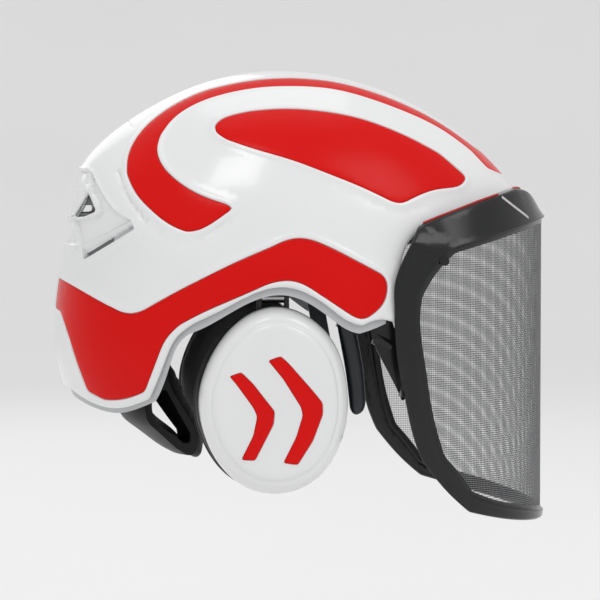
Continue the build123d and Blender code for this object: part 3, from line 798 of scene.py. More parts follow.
def lifted(points, share):
    """Points fixed to the visor, with it lifted by a share of its travel."""
    angle = math.radians(VISOR_REACH_ANGLE)
    reach = VISOR_REACH * share
    x = points[:, 0] + reach * math.cos(angle) - VISOR_PIVOT[0]
    z = points[:, 2] + reach * math.sin(angle) - VISOR_PIVOT[1]
    turn = math.radians(VISOR_LIFT) * share
    return np.column_stack([
        VISOR_PIVOT[0] + x * math.cos(turn) - z * math.sin(turn),
        points[:, 1],
        VISOR_PIVOT[1] + x * math.sin(turn) + z * math.cos(turn),
    ])


def make_brow_shelf():
    """The brow's top, from its outer edge in to the shell with room to lift."""
    brow_x, brow_z = zip(*BROW_LINE)
    along = np.arange(0.0, side_to_visor([(77.0, 0.0)])[0, 0], 2.0)
    columns = 14
    start = 1.2 + BROW_LEAN * eased(along, LEAN_SHARE)
    flat = np.column_stack([along, np.zeros(len(along))])
    set_back = net_to_visor(flat, np.zeros(len(along)))[:, 0] - net_to_visor(flat, -start)[:, 0]

    def at(inset):
        points = net_to_visor(flat, -inset)
        points[:, 2] = np.interp(points[:, 0] + set_back, brow_x, brow_z)
        return points

    depth = start.copy()
    free = np.ones(len(along), bool)
    while free.any() and depth.max() < 90:
        trial = at(depth + 0.6)
        for share in (0.0, 0.15, 0.3, 0.45, 0.6, 0.75, 0.9, 1.0):
            free &= ~inside_shell(lifted(trial, share), BROW_ROOM)
        free &= trial[:, 1] < 0.2
        depth = np.where(free, depth + 0.6, depth)
    near = [np.roll(np.pad(depth, 2, "edge"), k)[2:-2] for k in (-1, 0, 1)]
    depth = np.maximum(np.min(near, axis=0), start)
    rows = [at(start + (depth - start) * k / (columns - 1)) for k in range(columns)]
    points = np.vstack(rows)
    count = len(along)
    faces = [
        (r * count + i, r * count + i + 1, (r + 1) * count + i + 1, (r + 1) * count + i)
        for r in range(columns - 1) for i in range(count - 1)
    ]
    return mirrored(points, np.array(faces))


def wire_spans(window, spacing):
    """Where the two sets of wires run inside the frame's rebate."""
    rebate = moved_out(window, 2.6)
    left = rebate[:, 0].max()
    top, bottom = rebate[:, 1].max(), rebate[:, 1].min()
    reach = np.arange(-left, left, spacing)
    height = np.arange(bottom, top, spacing)
    grid = np.array([(abs(u), z) for u in reach for z in height])
    held = is_inside(grid, rebate).reshape(len(reach), len(height))
    return reach, height, held


def tubes(runs, radius, sides=3):
    """Thin round wires along runs of points."""
    points, faces = [], []
    for run in runs:
        run = np.asarray(run)
        ahead = np.gradient(run, axis=0)
        ahead /= np.linalg.norm(ahead, axis=1)[:, None]
        up = np.where(np.abs(ahead[:, 2:3]) > 0.8, (1.0, 0.0, 0.0), (0.0, 0.0, 1.0))
        one = np.cross(ahead, up)
        one /= np.linalg.norm(one, axis=1)[:, None]
        two = np.cross(ahead, one)
        first = len(points)
        for centre, a, b in zip(run, one, two):
            for k in range(sides):
                turn = 2 * math.pi * k / sides
                points.append(centre + radius * (math.cos(turn) * a + math.sin(turn) * b))
        for i in range(len(run) - 1):
            for k in range(sides):
                j = (k + 1) % sides
                low, high = first + i * sides, first + (i + 1) * sides
                faces.append((low + k, low + j, high + j, high + k))
    return np.array(points), faces


def make_wires(pitch, radius):
    window = visor_outline(FRAME_IN, WINDOW_CORNER)
    reach, height, held = wire_spans(window, pitch)
    sets = []
    for by_row in (True, False):
        runs = []
        outer, inner = (height, reach) if by_row else (reach, height)
        for i, fixed in enumerate(outer):
            column = held[:, i] if by_row else held[i, :]
            places = np.flatnonzero(column)
            for part in np.split(places, np.flatnonzero(np.diff(places) > 1) + 1):
                if len(part) < 3:
                    continue
                wave = np.where((part + i) % 2 == 0, 1.0, -1.0) * (1 if by_row else -1)
                flat = np.column_stack([inner[part], np.full(len(part), fixed)])
                flat = flat if by_row else flat[:, ::-1]
                runs.append(net_to_visor(flat, -WIRE_INSET + wave * radius * 0.9))
        sets.append(tubes(runs, radius * (1.25 if by_row else 0.8)))
    return sets


def make_chin_ribs(pitch):
    """Fins inside the frame's bottom bar."""
    outer = visor_outline(FRAME_OUT, FRAME_CORNER)
    window = visor_outline(FRAME_IN, WINDOW_CORNER)
    far = side_to_visor([(121.0, 0.0)])[0, 0]
    points, faces = [], []
    for along in np.arange(-far, far, pitch):
        column = np.array([(abs(along), z) for z in np.arange(-124.0, -80.0, 0.5)])
        inside = is_inside(column, outer) & ~is_inside(column, window)
        if not inside.any():
            continue
        low, high = column[inside, 1].min() + 1.6, column[inside, 1].max() - 0.4
        first = len(points)
        for u in (along - 0.45, along + 0.45):
            for inset, z in ((2.6, low), (2.6, high), (4.6, high - 1.5), (15.0, low + 1.6)):
                points.append(net_to_visor(np.array([(u, z)]), np.array([-inset]))[0])
        faces += [
            tuple(first + k for k in quad)
            for quad in ((0, 1, 2, 3), (7, 6, 5, 4), (1, 5, 6, 2), (2, 6, 7, 3), (3, 7, 4, 0),
                         (0, 4, 5, 1))
        ]
    return np.array(points), faces


def make_chin_shelf():
    """The ribbed floor that stands in from the frame's bottom bar."""
    outer = visor_outline(FRAME_OUT, FRAME_CORNER)
    far = side_to_visor([(122.0, 0.0)])[0, 0]
    along = np.arange(0.0, far, 2.0)
    heights = np.arange(-124.0, -90.0, 0.5)
    low = []
    for u in along:
        column = np.column_stack([np.full(len(heights), u), heights])
        low.append(heights[is_inside(column, outer)].min() + 1.8)
    low = np.array(low)
    rows = [
        net_to_visor(np.column_stack([along, low + 0.08 * inset]), np.full(len(along), -inset))
        for inset in (2.4, 5.0, 8.0, 11.0, 14.0, 15.4)
    ]
    points, faces = loft(rows, closed_rows=False, ends=False)
    return mirrored(points, np.array(faces))


def lean_at(net):
    outer = visor_outline(FRAME_OUT, FRAME_CORNER)
    window = visor_outline(FRAME_IN, WINDOW_CORNER)
    return brow_lean(net, outer, window)


def make_painted_brow_glint():
    """A light grey strip that slants across the brow, on both sides: a painted reflection of the
    glossy brow, not an inlay.
    """
    middle = side_to_visor(smooth_run(PAINTED_GLINT_LINE, 1.0))
    ahead = middle[-1] - middle[0]
    aside = np.array([-ahead[1], ahead[0]]) / np.hypot(*ahead)
    rows = []
    for place, height in ((-1.1, -0.3), (-0.85, 0.16), (0.0, 0.22), (0.85, 0.16), (1.1, -0.3)):
        net = middle + aside * place
        rows.append(net_to_visor(net, height - lean_at(net)))
    points, faces = loft(rows, closed_rows=False, ends=False)
    return mirrored(points, np.array(faces))


def make_brow_bead():
    """The red seal's bead along the brow's top edge."""
    brow_x, brow_z = zip(*BROW_LINE)
    start, end = side_to_visor([(134.0, 0.0), (78.0, 0.0)])[:, 0]
    along = np.arange(start, end, 1.5)
    wall = net_to_visor(np.column_stack([along, np.zeros(len(along))]), np.zeros(len(along)))
    runs = []
    for side in (-1.0, 1.0):
        flat = np.column_stack([along * side, np.zeros(len(along))])
        run = net_to_visor(flat, np.full(len(along), -2.0 - BROW_LEAN))
        run[:, 2] = np.interp(wall[:, 0], brow_x, brow_z) + 0.4
        runs.append(run)
    return tubes(runs, 0.9, 8)


# ------------------------------------------------------------------ ear cups
CUP_CENTRE = (-17.0, -35.0)
CUP_OUTLINE = [
    (-17.0, -93.5), (-35.0, -89.0), (-50.5, -75.5), (-60.5, -56.0), (-64.0, -34.0),
    (-59.0, -13.5), (-44.0, 10.0), (-19.0, 23.5), (6.0, 16.5), (21.5, -0.5),
    (28.5, -24.0), (29.0, -45.0), (23.0, -66.5), (9.0, -85.0),
]
CHEVRON_REAR = [
    (-46.0, -18.5), (-38.5, -16.0), (-31.0, -23.5), (-17.8, -40.5), (-18.5, -48.5),
    (-30.0, -71.0), (-38.7, -70.5), (-31.2, -55.5), (-28.7, -43.5), (-31.2, -38.0),
    (-41.7, -23.5),
]
CHEVRON_FRONT = [
    (-22.0, -9.0), (-14.0, -6.2), (-8.9, -11.0), (6.0, -28.0), (12.0, -35.5),
    (12.2, -42.5), (6.0, -59.0), (-3.5, -74.0), (-12.6, -72.6), (-4.5, -56.5),
    (-0.4, -43.0), (-1.6, -38.0), (-12.6, -20.5),
]
# The cap from its open edge (size 1) to the middle of its face (size 0).
CAP_PROFILE = [
    (1.0, 99.0), (0.999, 102.0), (0.993, 105.0), (0.978, 107.9), (0.952, 110.5), (0.92, 112.5),
    (0.885, 113.9), (0.862, 114.3), (0.846, 114.35), (0.835, 115.1), (0.82, 115.9),
    (0.80, 116.5), (0.76, 117.0), (0.6, 117.4), (0.0, 117.7),
]
CHEVRON_LIP = [(-0.02, -0.8), (0.1, 0.1), (0.4, 0.32), (0.9, 0.32), (1.6, 0.0)]

cup_radius = polar_radius(CUP_OUTLINE, CUP_CENTRE)


def cup_size_at(flat):
    away = flat - np.array(CUP_CENTRE)
    return np.hypot(away[:, 0], away[:, 1]) / cup_radius(np.arctan2(away[:, 1], away[:, 0]))


def cup_face(flat, lift):
    sizes, outs = zip(*sorted(CAP_PROFILE))
    y = np.interp(cup_size_at(flat), sizes, outs) + lift
    return np.column_stack([flat[:, 0], -y, flat[:, 1]])


def cup_loop(size, count=150):
    theta = np.linspace(0, 2 * math.pi, count, endpoint=False)
    radius = cup_radius(theta) * size
    return np.column_stack([CUP_CENTRE[0] + radius * np.cos(theta),
                            CUP_CENTRE[1] + radius * np.sin(theta)])


def chevron_loops():
    return [soften_loop(smooth_close(points), 1.4, 1.0) for points in (CHEVRON_REAR, CHEVRON_FRONT)]


def make_cap(spacing):
    chevrons = chevron_loops()
    lines = [(cup_loop(size), True) for size, _ in CAP_PROFILE if size > 0.5]
    for loop in chevrons:
        lines += [(moved_out(loop, away), True) for away, _ in CHEVRON_LIP]
    rim = cup_loop(1.0005)
    flat, faces = flat_net(lines, spacing, lambda points: is_inside(points, rim))
    lift = sum(eased(signed_distance(flat, loop), CHEVRON_LIP) for loop in chevrons)
    return cup_face(flat, lift), faces


def make_chevron(loop, spacing):
    outer = moved_out(loop, -0.08)
    rounds = [(0.0, -0.85), (0.1, -0.25), (0.4, 0.0), (1.0, 0.12)]
    lines = [(moved_out(outer, -away), True) for away, _ in rounds]
    flat, faces = flat_net(lines, spacing, lambda points: is_inside(points, outer))
    return cup_face(flat, eased(-signed_distance(flat, outer), rounds)), faces


def loft(rows, closed_rows=True, ends=True):
    """Quads between rings of points, with the two end rings closed."""
    count = len(rows[0])
    points = np.vstack(rows)
    faces = []
    for r in range(len(rows) - 1):
        for i in range(count if closed_rows else count - 1):
            j = (i + 1) % count
            faces.append((r * count + i, r * count + j, (r + 1) * count + j, (r + 1) * count + i))
    if ends:
        faces.append(tuple(range(count))[::-1])
        faces.append(tuple((len(rows) - 1) * count + i for i in range(count)))
    return points, faces


def oval_section(count, power):
    """Points round a soft-cornered unit oval."""
    turn = np.linspace(0, 2 * math.pi, count, endpoint=False)
    across = np.sign(np.cos(turn)) * np.abs(np.cos(turn)) ** power
    up = np.sign(np.sin(turn)) * np.abs(np.sin(turn)) ** power
    return across, up


def make_cushion():
    """The soft ring of an ear cup; the room for the arm at its top is pressed in afterwards by
    arm_room.
    """
    across, deep = oval_section(40, 0.62)
    hole_x, hole_z = CUP_CENTRE[0] - 2.0, CUP_CENTRE[1]
    rows = []
    for turn in np.linspace(0, 2 * math.pi, 160, endpoint=False):
        outer = (cup_radius(turn) - 1.2)
        inner = 1.0 / math.hypot(math.cos(turn) / 20.5, math.sin(turn) / 30.0)
        start = np.array([hole_x + inner * math.cos(turn), hole_z + inner * math.sin(turn)])
        end = np.array([CUP_CENTRE[0] - 3.0 + outer * math.cos(turn),
                        CUP_CENTRE[1] + outer * math.sin(turn)])
        share = (0.5 + 0.5 * across)[:, None]
        flat = start * (1 - share) + end * share
        y = -84.6 - 8.2 * deep
        rows.append(np.column_stack([flat[:, 0], y, flat[:, 1]]))
    rows.append(rows[0])
    return loft(rows, ends=False)


def make_base():
    """The cup's base plate with its opening and the two lugs for the arm."""
    outer = cup_loop(0.985, 160)
    turn = np.arctan2(outer[:, 1] - CUP_CENTRE[1], outer[:, 0] - CUP_CENTRE[0])
    hole = np.array(CUP_CENTRE) + np.column_stack([24.0 * np.cos(turn), 33.0 * np.sin(turn)])
    middle = np.array(CUP_CENTRE)

    def ring(loop, grow, y):
        flat = middle + (loop - middle) * (1 + grow)
        return np.column_stack([flat[:, 0], np.full(len(flat), -y), flat[:, 1]])

    rows = [
        ring(hole, 0.0, 94.5), ring(hole, 0.0, 98.4), ring(hole, 0.015, 98.8),
        ring(outer, -0.012, 98.8), ring(outer, 0.0, 98.3), ring(outer, 0.0, 94.6),
        ring(outer, -0.012, 94.0), ring(hole, 0.015, 94.0), ring(hole, 0.0, 94.5),
    ]
    points, faces = loft(rows, ends=False)
    lugs = [(points, np.array(faces))]
    for start, end in ((-27.0, -24.2), (-9.8, -7.0)):
        profile = soften_loop(smooth_close([
            (-98.2, 14.0), (-90.5, 14.0), (-90.5, 32.5), (-98.2, 32.5),
        ]), 0.8, 0.9)
        sides = []
        for x, size in ((start, 0.94), (start + 0.3, 1.0), (end - 0.3, 1.0), (end, 0.94)):
            flat = profile.mean(axis=0) + (profile - profile.mean(axis=0)) * size
            sides.append(np.column_stack([np.full(len(flat), x), flat]))
        lugs.append(loft(sides))
    return lugs


def arm_room(points):
    """Presses the cushion in where the cup's arm passes."""
    near = eased(np.abs(points[:, 0] - CUP_CENTRE[0]), [(11.5, 1.0), (16.0, 0.0)])
    high = eased(points[:, 2], [(6.0, 0.0), (10.0, 1.0)])
    press = near * high
    limit = -89.2
    pressed = np.where(points[:, 1] < limit, limit, points[:, 1])
    points[:, 1] = points[:, 1] * (1 - press) + pressed * press
    return points


def make_cushion_seams():
    """Piping round the cushion's outer and inner edges."""
    runs = []
    turns = np.linspace(0, 2 * math.pi, 161)
    outer = cup_radius(turns) - 1.6
    runs.append(np.column_stack([
        CUP_CENTRE[0] - 3.0 + outer * np.cos(turns), np.full(161, -84.0),
        CUP_CENTRE[1] + outer * np.sin(turns),
    ]))
    inner = 1.0 / np.hypot(np.cos(turns) / 21.5, np.sin(turns) / 31.0)
    runs.append(np.column_stack([
        CUP_CENTRE[0] - 2.0 + inner * np.cos(turns), np.full(161, -80.5),
        CUP_CENTRE[1] + inner * np.sin(turns),
    ]))
    return tubes(runs, 0.85, 8)


def make_foam():
    flat, faces = flat_net([(cup_loop(size), True) for size in (0.775, 0.76, 0.73)], 2.0,
                           lambda points: is_inside(points, cup_loop(0.776)))
    size = cup_size_at(flat)
    waves = 0.7 * np.sin(flat[:, 0] * 0.9) * np.sin(flat[:, 1] * 0.9)
    top = -101.0 + eased(size, [(0.0, 0.8), (0.7, 0.8), (0.775, -0.9)]) + waves * (size < 0.7)
    front = np.column_stack([flat[:, 0], top, flat[:, 1]])
    back = np.column_stack([flat[:, 0], np.full(len(flat), -109.6), flat[:, 1]])
    edge = border_edges(faces)
    side = np.array([(b, a, a + len(flat)) for a, b in edge]
                    + [(b, a + len(flat), b + len(flat)) for a, b in edge])
    return np.vstack([front, back]), np.vstack([faces[:, ::-1], faces + len(flat), side])


def border_edges(faces):
    """Directed edges that only one face has."""
    directed = {(f[i], f[(i + 1) % 3]) for f in faces.tolist() for i in range(3)}
    return [(a, b) for a, b in directed if (b, a) not in directed]


# ------------------------------------------------------------------- harness
HARNESS_TILT = math.radians(20.0)
HARNESS_RISE = 49.0
TAB = [
    [(21, 61), (22.5, 30), (24.7, 12), (30, -17), (33, -42)],
    [(33, -42), (36, -46), (40.5, -44.5), (43, -38)],
    [(43, -38), (41.5, -17), (37.5, 5), (35, 25), (34, 61)],
    [(34, 61), (21, 61)],
]
NAPE_AXIS_X = -36.0
STRAP_WIDTH = 21.6
STRAP_DEPTH = 1.3
CROWN_REACH = 33.0
CROWN_OUTSIDE = (93.0, 72.4, 93.2)
CROWN_INSIDE = (87.0, 66.5, 87.0)
NAPE_PAD = [
    [(56.5, -14), (50.5, -31), (38, -48.5), (28.7, -61), (27.6, -70)],
    [(27.6, -70), (29, -79), (23.5, -82), (19, -72), (21.5, -58)],
    [(21.5, -58), (30.5, -44), (41.5, -29), (48, -13)],
    [(48, -13), (56.5, -14)],
]


def in_harness(points):
    """From the level harness layout to its tilted place in the shell."""
    points = np.asarray(points, float)
    x, z = points[:, 0], points[:, 2]
    turn_cos, turn_sin = math.cos(HARNESS_TILT), math.sin(HARNESS_TILT)
    return np.column_stack([
        x * turn_cos - z * turn_sin, points[:, 1], HARNESS_RISE + x * turn_sin + z * turn_cos,
    ])


def make_ribbon(line, facing, across, width, depth):
    """A flat woven strap along line, with thicker woven edges."""
    half = width / 2
    section = [
        (-half, 0.35), (-half + 0.5, 0.5), (-half + 2.2, 0.5), (-half + 2.8, 0.36),
        (half - 2.8, 0.36), (half - 2.2, 0.5), (half - 0.5, 0.5), (half, 0.35),
        (half, -0.35), (half - 0.5, -0.5), (half - 2.2, -0.5), (half - 2.8, -0.36),
        (-half + 2.8, -0.36), (-half + 2.2, -0.5), (-half + 0.5, -0.5), (-half, -0.35),
    ]
    rows = []
    for centre, out in zip(line, facing):
        rows.append(np.array([centre + np.array(across) * a + out * b * depth
                              for a, b in section]))
    return loft(rows)


def arc_of_strap(wide, high, low_start, low_end):
    """A strap's middle line and outward direction over the head."""
    start, end = math.asin(low_start / high), math.pi - math.asin(low_end / high)
    turn = np.linspace(start, end, 120)
    line = np.column_stack([wide * np.cos(turn), high * np.sin(turn)])
    out = np.column_stack([np.cos(turn) / wide, np.sin(turn) / high])
    return line, out / np.linalg.norm(out, axis=1)[:, None]


def make_long_strap():
    line, out = arc_of_strap(94.0, 94.4, 5.8, 23.4)
    zero = np.zeros(len(line))
    line, out = (np.column_stack([v[:, 0], zero, v[:, 1]]) for v in (line, out))
    points, faces = make_ribbon(line, out, (0, 1, 0), STRAP_WIDTH, STRAP_DEPTH)
    return in_harness(points), faces


def make_cross_strap():
    line, out = arc_of_strap(73.0, 97.6, 2.4, 2.4)
    zero = np.zeros(len(line))
    line, out = (np.column_stack([zero, v[:, 0], v[:, 1]]) for v in (line, out))
    points, faces = make_ribbon(line, out, (1, 0, 0), STRAP_WIDTH, STRAP_DEPTH)
    return in_harness(points), faces


def make_tab():
    """One temple tab: a glossy tongue, crowned across and rounded at its edge."""
    outline = soften_loop(np.vstack([smooth_run(run, 0.5)[:-1] for run in TAB]), 1.6, 1.1)
    rounds = [(0.0, -1.2), (0.35, -0.6), (0.9, -0.2), (1.8, 0.0)]
    lines = [(moved_out(outline, -away), True) for away, _ in rounds]
    flat, faces = flat_net(lines, 1.8, lambda points: is_inside(points, outline))
    deep = -signed_distance(flat, outline)
    crown = eased(deep, rounds) + 1.1 * np.sin(np.clip(deep / 6.5, 0, 1) * math.pi / 2)
    front = np.column_stack([flat[:, 0], -85.9 - crown, flat[:, 1]])
    back = np.column_stack([flat[:, 0], np.full(len(flat), -83.8), flat[:, 1]])
    edge = border_edges(faces)
    side = np.array([(b, a, a + len(flat)) for a, b in edge]
                    + [(b, a + len(flat), b + len(flat)) for a, b in edge])
    return np.vstack([front, back]), np.vstack([faces, faces[:, ::-1] + len(flat), side])


def make_sweatband():
    """The padded band over the forehead."""
    thick, tall = oval_section(28, 0.55)
    rows = []
    reach = math.acos(38.0 / 92.8)
    for turn in np.linspace(-reach, reach, 150):
        end = (1 - abs(turn / reach) ** 14) ** 0.5 * 0.6 + 0.4
        radius_x, radius_y = 92.8, 71.8
        out = np.array([math.cos(turn) / radius_x, math.sin(turn) / radius_y])
        out /= np.linalg.norm(out)
        middle = np.array([radius_x * math.cos(turn), radius_y * math.sin(turn)])
        depth = 1.9 * end
        flat = middle + out * (thick * depth)[:, None]
        rows.append(np.column_stack([flat, -4.6 + tall * 8.8 * end]))
    points, faces = loft(rows)
    return in_harness(points), faces


def make_crown_pad():
    """The round pad under the crown."""
    rings = np.linspace(0.06, 1.0, 18)
    turn = np.linspace(0, 2 * math.pi, 96, endpoint=False)

    def skin(share, size):
        x, y = CROWN_REACH * share * np.cos(turn), CROWN_REACH * share * np.sin(turn)
        z = size[2] * np.sqrt(1 - (x / size[0]) ** 2 - (y / size[1]) ** 2)
        return np.column_stack([x, y, z])

    def row(share, side):
        fat = math.sqrt(max(0.0, 1 - share**5))
        outer, inner = skin(share, CROWN_OUTSIDE), skin(share, CROWN_INSIDE)
        return 0.5 * (outer + inner) + side * (outer - inner) * 0.46 * fat

    rows = [row(share, 1) for share in rings] + [row(share, -1) for share in rings[-2::-1]]
    points, faces = loft(rows)
    return in_harness(points), faces


def make_nape_pad():
    runs = [smooth_run(run, 0.5)[:-1] for run in NAPE_PAD]
    loop = soften_loop(np.vstack(runs), 2.0, 1.8)
    middle = loop.mean(axis=0)
    rows = []
    for turn in np.linspace(-1, 1, 70):
        end = (1 - abs(turn) ** 6) ** 0.5 * 0.75 + 0.25
        angle = math.radians(31.5) * turn
        section = middle + (loop - middle) * (0.96 * end, 0.97 * (0.5 + 0.5 * end))
        rows.append(np.column_stack([
            NAPE_AXIS_X - section[:, 0] * math.cos(angle), section[:, 0] * math.sin(angle),
            section[:, 1],
        ]))
    return loft(rows)


def stuff(made, pressure, most, voxel=4.5):
    """Blows a soft piece up from inside as cloth, keeps it near its place, smooths it."""
    remesh = made.modifiers.new("even", "REMESH")
    remesh.mode = "VOXEL"
    remesh.voxel_size = voxel * MM
    bake(made)
    before = np.array([v.co for v in made.data.vertices])
    cloth = made.modifiers.new("stuffing", "CLOTH")
    cloth.settings.use_pressure = True
    cloth.settings.uniform_pressure_force = pressure
    cloth.settings.quality = 4
    cloth.settings.effector_weights.gravity = 0
    cloth.collision_settings.use_collision = False
    scene = bpy.context.scene
    for step in range(1, 16):
        scene.frame_set(step)
    bake(made)
    scene.frame_set(1)
    after = np.array([v.co for v in made.data.vertices])
    moved = after - before
    far = np.linalg.norm(moved, axis=1)
    share = np.minimum(1.0, most * MM / np.maximum(far, 1e-9))
    final = before + moved * share[:, None]
    made.data.vertices.foreach_set("co", final.astype(np.float32).ravel())
    smooth = made.modifiers.new("smooth", "SUBSURF")
    smooth.levels = smooth.render_levels = 1
    bake(made)
    made.data.shade_smooth()
    return made


def bake(made):
    """Applies the object's modifiers to its mesh."""
    bpy.context.view_layer.update()
    depsgraph = bpy.context.evaluated_depsgraph_get()
    mesh = bpy.data.meshes.new_from_object(made.evaluated_get(depsgraph))
    made.modifiers.clear()
    made.data = mesh


def reshape(made, change):
    """Moves a mesh's points by a function of their places in millimetres."""
    points = np.array([v.co for v in made.data.vertices]) / MM
    made.data.vertices.foreach_set("co", (change(points) * MM).astype(np.float32).ravel())
    made.data.update()


# ------------------------------------------------------------------ finishes
def chosen(name):
    """A colour from the settings."""
    return tuple(getattr(bpy.context.scene.helmet.colour, name))


def shell_finish():
    """Glossy moulded shell: a slow drift of tone and a faint orange peel."""
    white = chosen("shell")
    paint = Paint("shell_gloss", white, 0.2, Coat_Weight=0.4, Coat_Roughness=0.08)
    paint.two_colours(paint.noise(9.0, 2.0), tuple(c * 0.93 for c in white), white)
    paint.rough(paint.noise(70.0, 4.0), 0.16, 0.26)
    paint.bump(paint.noise(420.0, 2.0), 0.02)
    return paint.material


def red_finish():
    return moulded("panel_red_gloss", chosen("panels"), 0.25, 500.0, 0.03, 0.08,
                   Specular_IOR_Level=0.15)


def leather_finish():
    paint = Paint("cushion_leather", (0.012, 0.012, 0.013), 0.5, Sheen_Weight=0.1)
    cells = paint.add("ShaderNodeTexVoronoi", feature="DISTANCE_TO_EDGE")
    cells.inputs["Scale"].default_value = 700.0
    paint.links.new(paint.place, cells.inputs["Vector"])
    paint.bump(cells.outputs["Distance"], 0.35, 0.0003)
    paint.rough(paint.noise(40.0, 4.0), 0.38, 0.62)
    return paint.material


def foam_finish():
    paint = Paint("open_foam", (0.09, 0.09, 0.095), 0.95)
    cells = paint.add("ShaderNodeTexVoronoi", feature="F1")
    cells.inputs["Scale"].default_value = 900.0
    paint.links.new(paint.place, cells.inputs["Vector"])
    paint.two_colours(cells.outputs["Distance"], (0.03, 0.03, 0.03), (0.14, 0.14, 0.145))
    paint.bump(cells.outputs["Distance"], 0.8, 0.0006)
    return paint.material


def steel_finish():
    paint = Paint("brushed_steel", (0.5, 0.5, 0.51), 0.3, Metallic=1.0)
    lines = paint.noise(900.0, 3.0, (1.0, 0.06, 1.0))
    paint.rough(lines, 0.2, 0.42)
    paint.bump(lines, 0.08)
    return paint.material


def wire_finish():
    paint = Paint("wire_coat", (0.24, 0.243, 0.248), 0.42)
    paint.two_colours(paint.noise(120.0, 3.0), (0.2, 0.203, 0.208), (0.29, 0.293, 0.3))
    paint.rough(paint.noise(300.0, 3.0), 0.35, 0.55)
    paint.bump(paint.noise(1500.0, 2.0), 0.1)
    return paint.material


FINISHES = {
    "shell_white": shell_finish,
    "panel_red": red_finish,
    "liner_grey": lambda: moulded("liner_plastic", chosen("liner"), 0.5, 700.0, 0.12),
    "grille_grey": lambda: moulded("grille_plastic", (0.12, 0.125, 0.13), 0.5, 700.0, 0.15),
    "harness_black": lambda: moulded("harness_plastic", (0.008, 0.008, 0.009), 0.42, 800.0,
                                     0.2, 0.3, Specular_IOR_Level=0.3),
    "tab_blue_black": lambda: moulded("tab_gloss", (0.012, 0.016, 0.022), 0.25, 300.0, 0.03, 0.2),
    "webbing": lambda: woven("webbing", (0.018, 0.018, 0.02), 1.1, "X", "Y"),
    "pad_fabric": lambda: woven("pad_knit", (0.02, 0.02, 0.022), 0.9),
    "cushion_black": leather_finish,
    "foam_grey": foam_finish,
    "cup_white": lambda: moulded("cup_gloss", chosen("cups"), 0.22, 420.0, 0.02, 0.04,
                                 Coat_Weight=0.4, Coat_Roughness=0.08),
    "cup_black": lambda: moulded("cup_plastic", (0.012, 0.012, 0.013), 0.42, 700.0, 0.15, 0.3),
    "frame_black": lambda: moulded("frame_satin", chosen("visor"), 0.24, 800.0, 0.05, 0.25,
                                   Specular_IOR_Level=0.3, Coat_Weight=0.25,
                                   Coat_Roughness=0.12),
    "mesh_dark": wire_finish,
    "seal_red": lambda: moulded("seal_rubber", chosen("seal"), 0.55, 600.0, 0.2, 0.3),
    "steel_pin": steel_finish,
}
made_finishes = {}


def finish_for(slot):
    if slot not in made_finishes:
        made_finishes[slot] = FINISHES[slot]()
    return made_finishes[slot]


def dress(node, slot, round_edge=0.0):
    """Gives a CAD solid its finish, and rounds its edges a little."""
    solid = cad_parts[node]
    solid.data.materials.clear()
    solid.data.materials.append(finish_for(slot))
    if round_edge > 0:
        bevel = solid.modifiers.new("edge", "BEVEL")
        bevel.width = round_edge * MM
        bevel.segments = 2
        bevel.limit_method = "ANGLE"
        bevel.angle_limit = math.radians(38)
        bevel.harden_normals = True
    return solid


def piece(name, points, faces, body, slot, nodes=(), sharp=40.0, weld=0.0):
    made = new_object(name, points, faces, sharp, weld)
    return finish_piece(made, body, slot, finish_for(slot), *nodes)


def on_side(points, side):
    """Points modelled on the right, put on the side given by -1 or 1."""
    return points * np.array([1.0, 1.0 if side < 0 else -1.0, 1.0])


# ------------------------------------------------------------------ settings
class ColourSettings(bpy.types.PropertyGroup):
    shell: FloatVectorProperty(
        name="Shell", description="Colour of the outer shell", default=(0.86, 0.865, 0.87),
        subtype="COLOR", min=0.0, max=1.0)
    panels: FloatVectorProperty(
        name="Panels", description="Colour of the inlaid panels", subtype="COLOR",
        default=(0.72, 0.0025, 0.0015), min=0.0, max=1.0)
    liner: FloatVectorProperty(
        name="Liner", description="Colour of the inner shell", default=(0.52, 0.53, 0.54),
        subtype="COLOR", min=0.0, max=1.0)
    cups: FloatVectorProperty(
        name="Cups", description="Colour of the cups' caps", default=(0.83, 0.835, 0.84),
        subtype="COLOR", min=0.0, max=1.0)
    visor: FloatVectorProperty(
        name="Visor", description="Colour of the visor's frame", subtype="COLOR",
        default=(0.006, 0.0065, 0.0075), min=0.0, max=1.0)
    seal: FloatVectorProperty(
        name="Seal", description="Colour of the visor's seal", default=(0.42, 0.008, 0.006),
        subtype="COLOR", min=0.0, max=1.0)


class ShellSettings(bpy.types.PropertyGroup):
    spacing: FloatProperty(
        name="Detail", description="Size of the shell's facets", default=0.0032, unit="LENGTH",
        subtype="DISTANCE", min=0.001)
    wall: FloatProperty(
        name="Wall", description="Thickness of the white shell", default=0.0024, unit="LENGTH",
        subtype="DISTANCE", min=0.001)
    panel_wall: FloatProperty(
        name="Panel wall", description="Thickness of the red panels", default=0.0012,
        unit="LENGTH", subtype="DISTANCE", min=0.0005)


class VisorSettings(bpy.types.PropertyGroup):
    pitch: FloatProperty(
        name="Wire pitch", description="Distance between wires", default=0.0013, unit="LENGTH",
        subtype="DISTANCE", min=0.001)
    wire: FloatProperty(
        name="Wire radius", description="Radius of each wire", default=0.00019, unit="LENGTH",
        subtype="DISTANCE", min=0.0001)
    rib_pitch: FloatProperty(
        name="Rib pitch", description="Distance between the chin ribs", default=0.0024,
        unit="LENGTH", subtype="DISTANCE", min=0.001)


class CupSettings(bpy.types.PropertyGroup):
    spacing: FloatProperty(
        name="Detail", description="Size of the cap's facets", default=0.0022, unit="LENGTH",
        subtype="DISTANCE", min=0.001)
    pressure: FloatProperty(
        name="Stuffing", description="How hard the cushions are filled", default=4.0, min=0.0)


class HarnessSettings(bpy.types.PropertyGroup):
    edge: FloatProperty(
        name="Edge round", description="Rounding on moulded edges", default=0.0005,
        unit="LENGTH", subtype="DISTANCE", min=0.0001)
    pressure: FloatProperty(
        name="Stuffing", description="How hard the pads are filled", default=3.0, min=0.0)


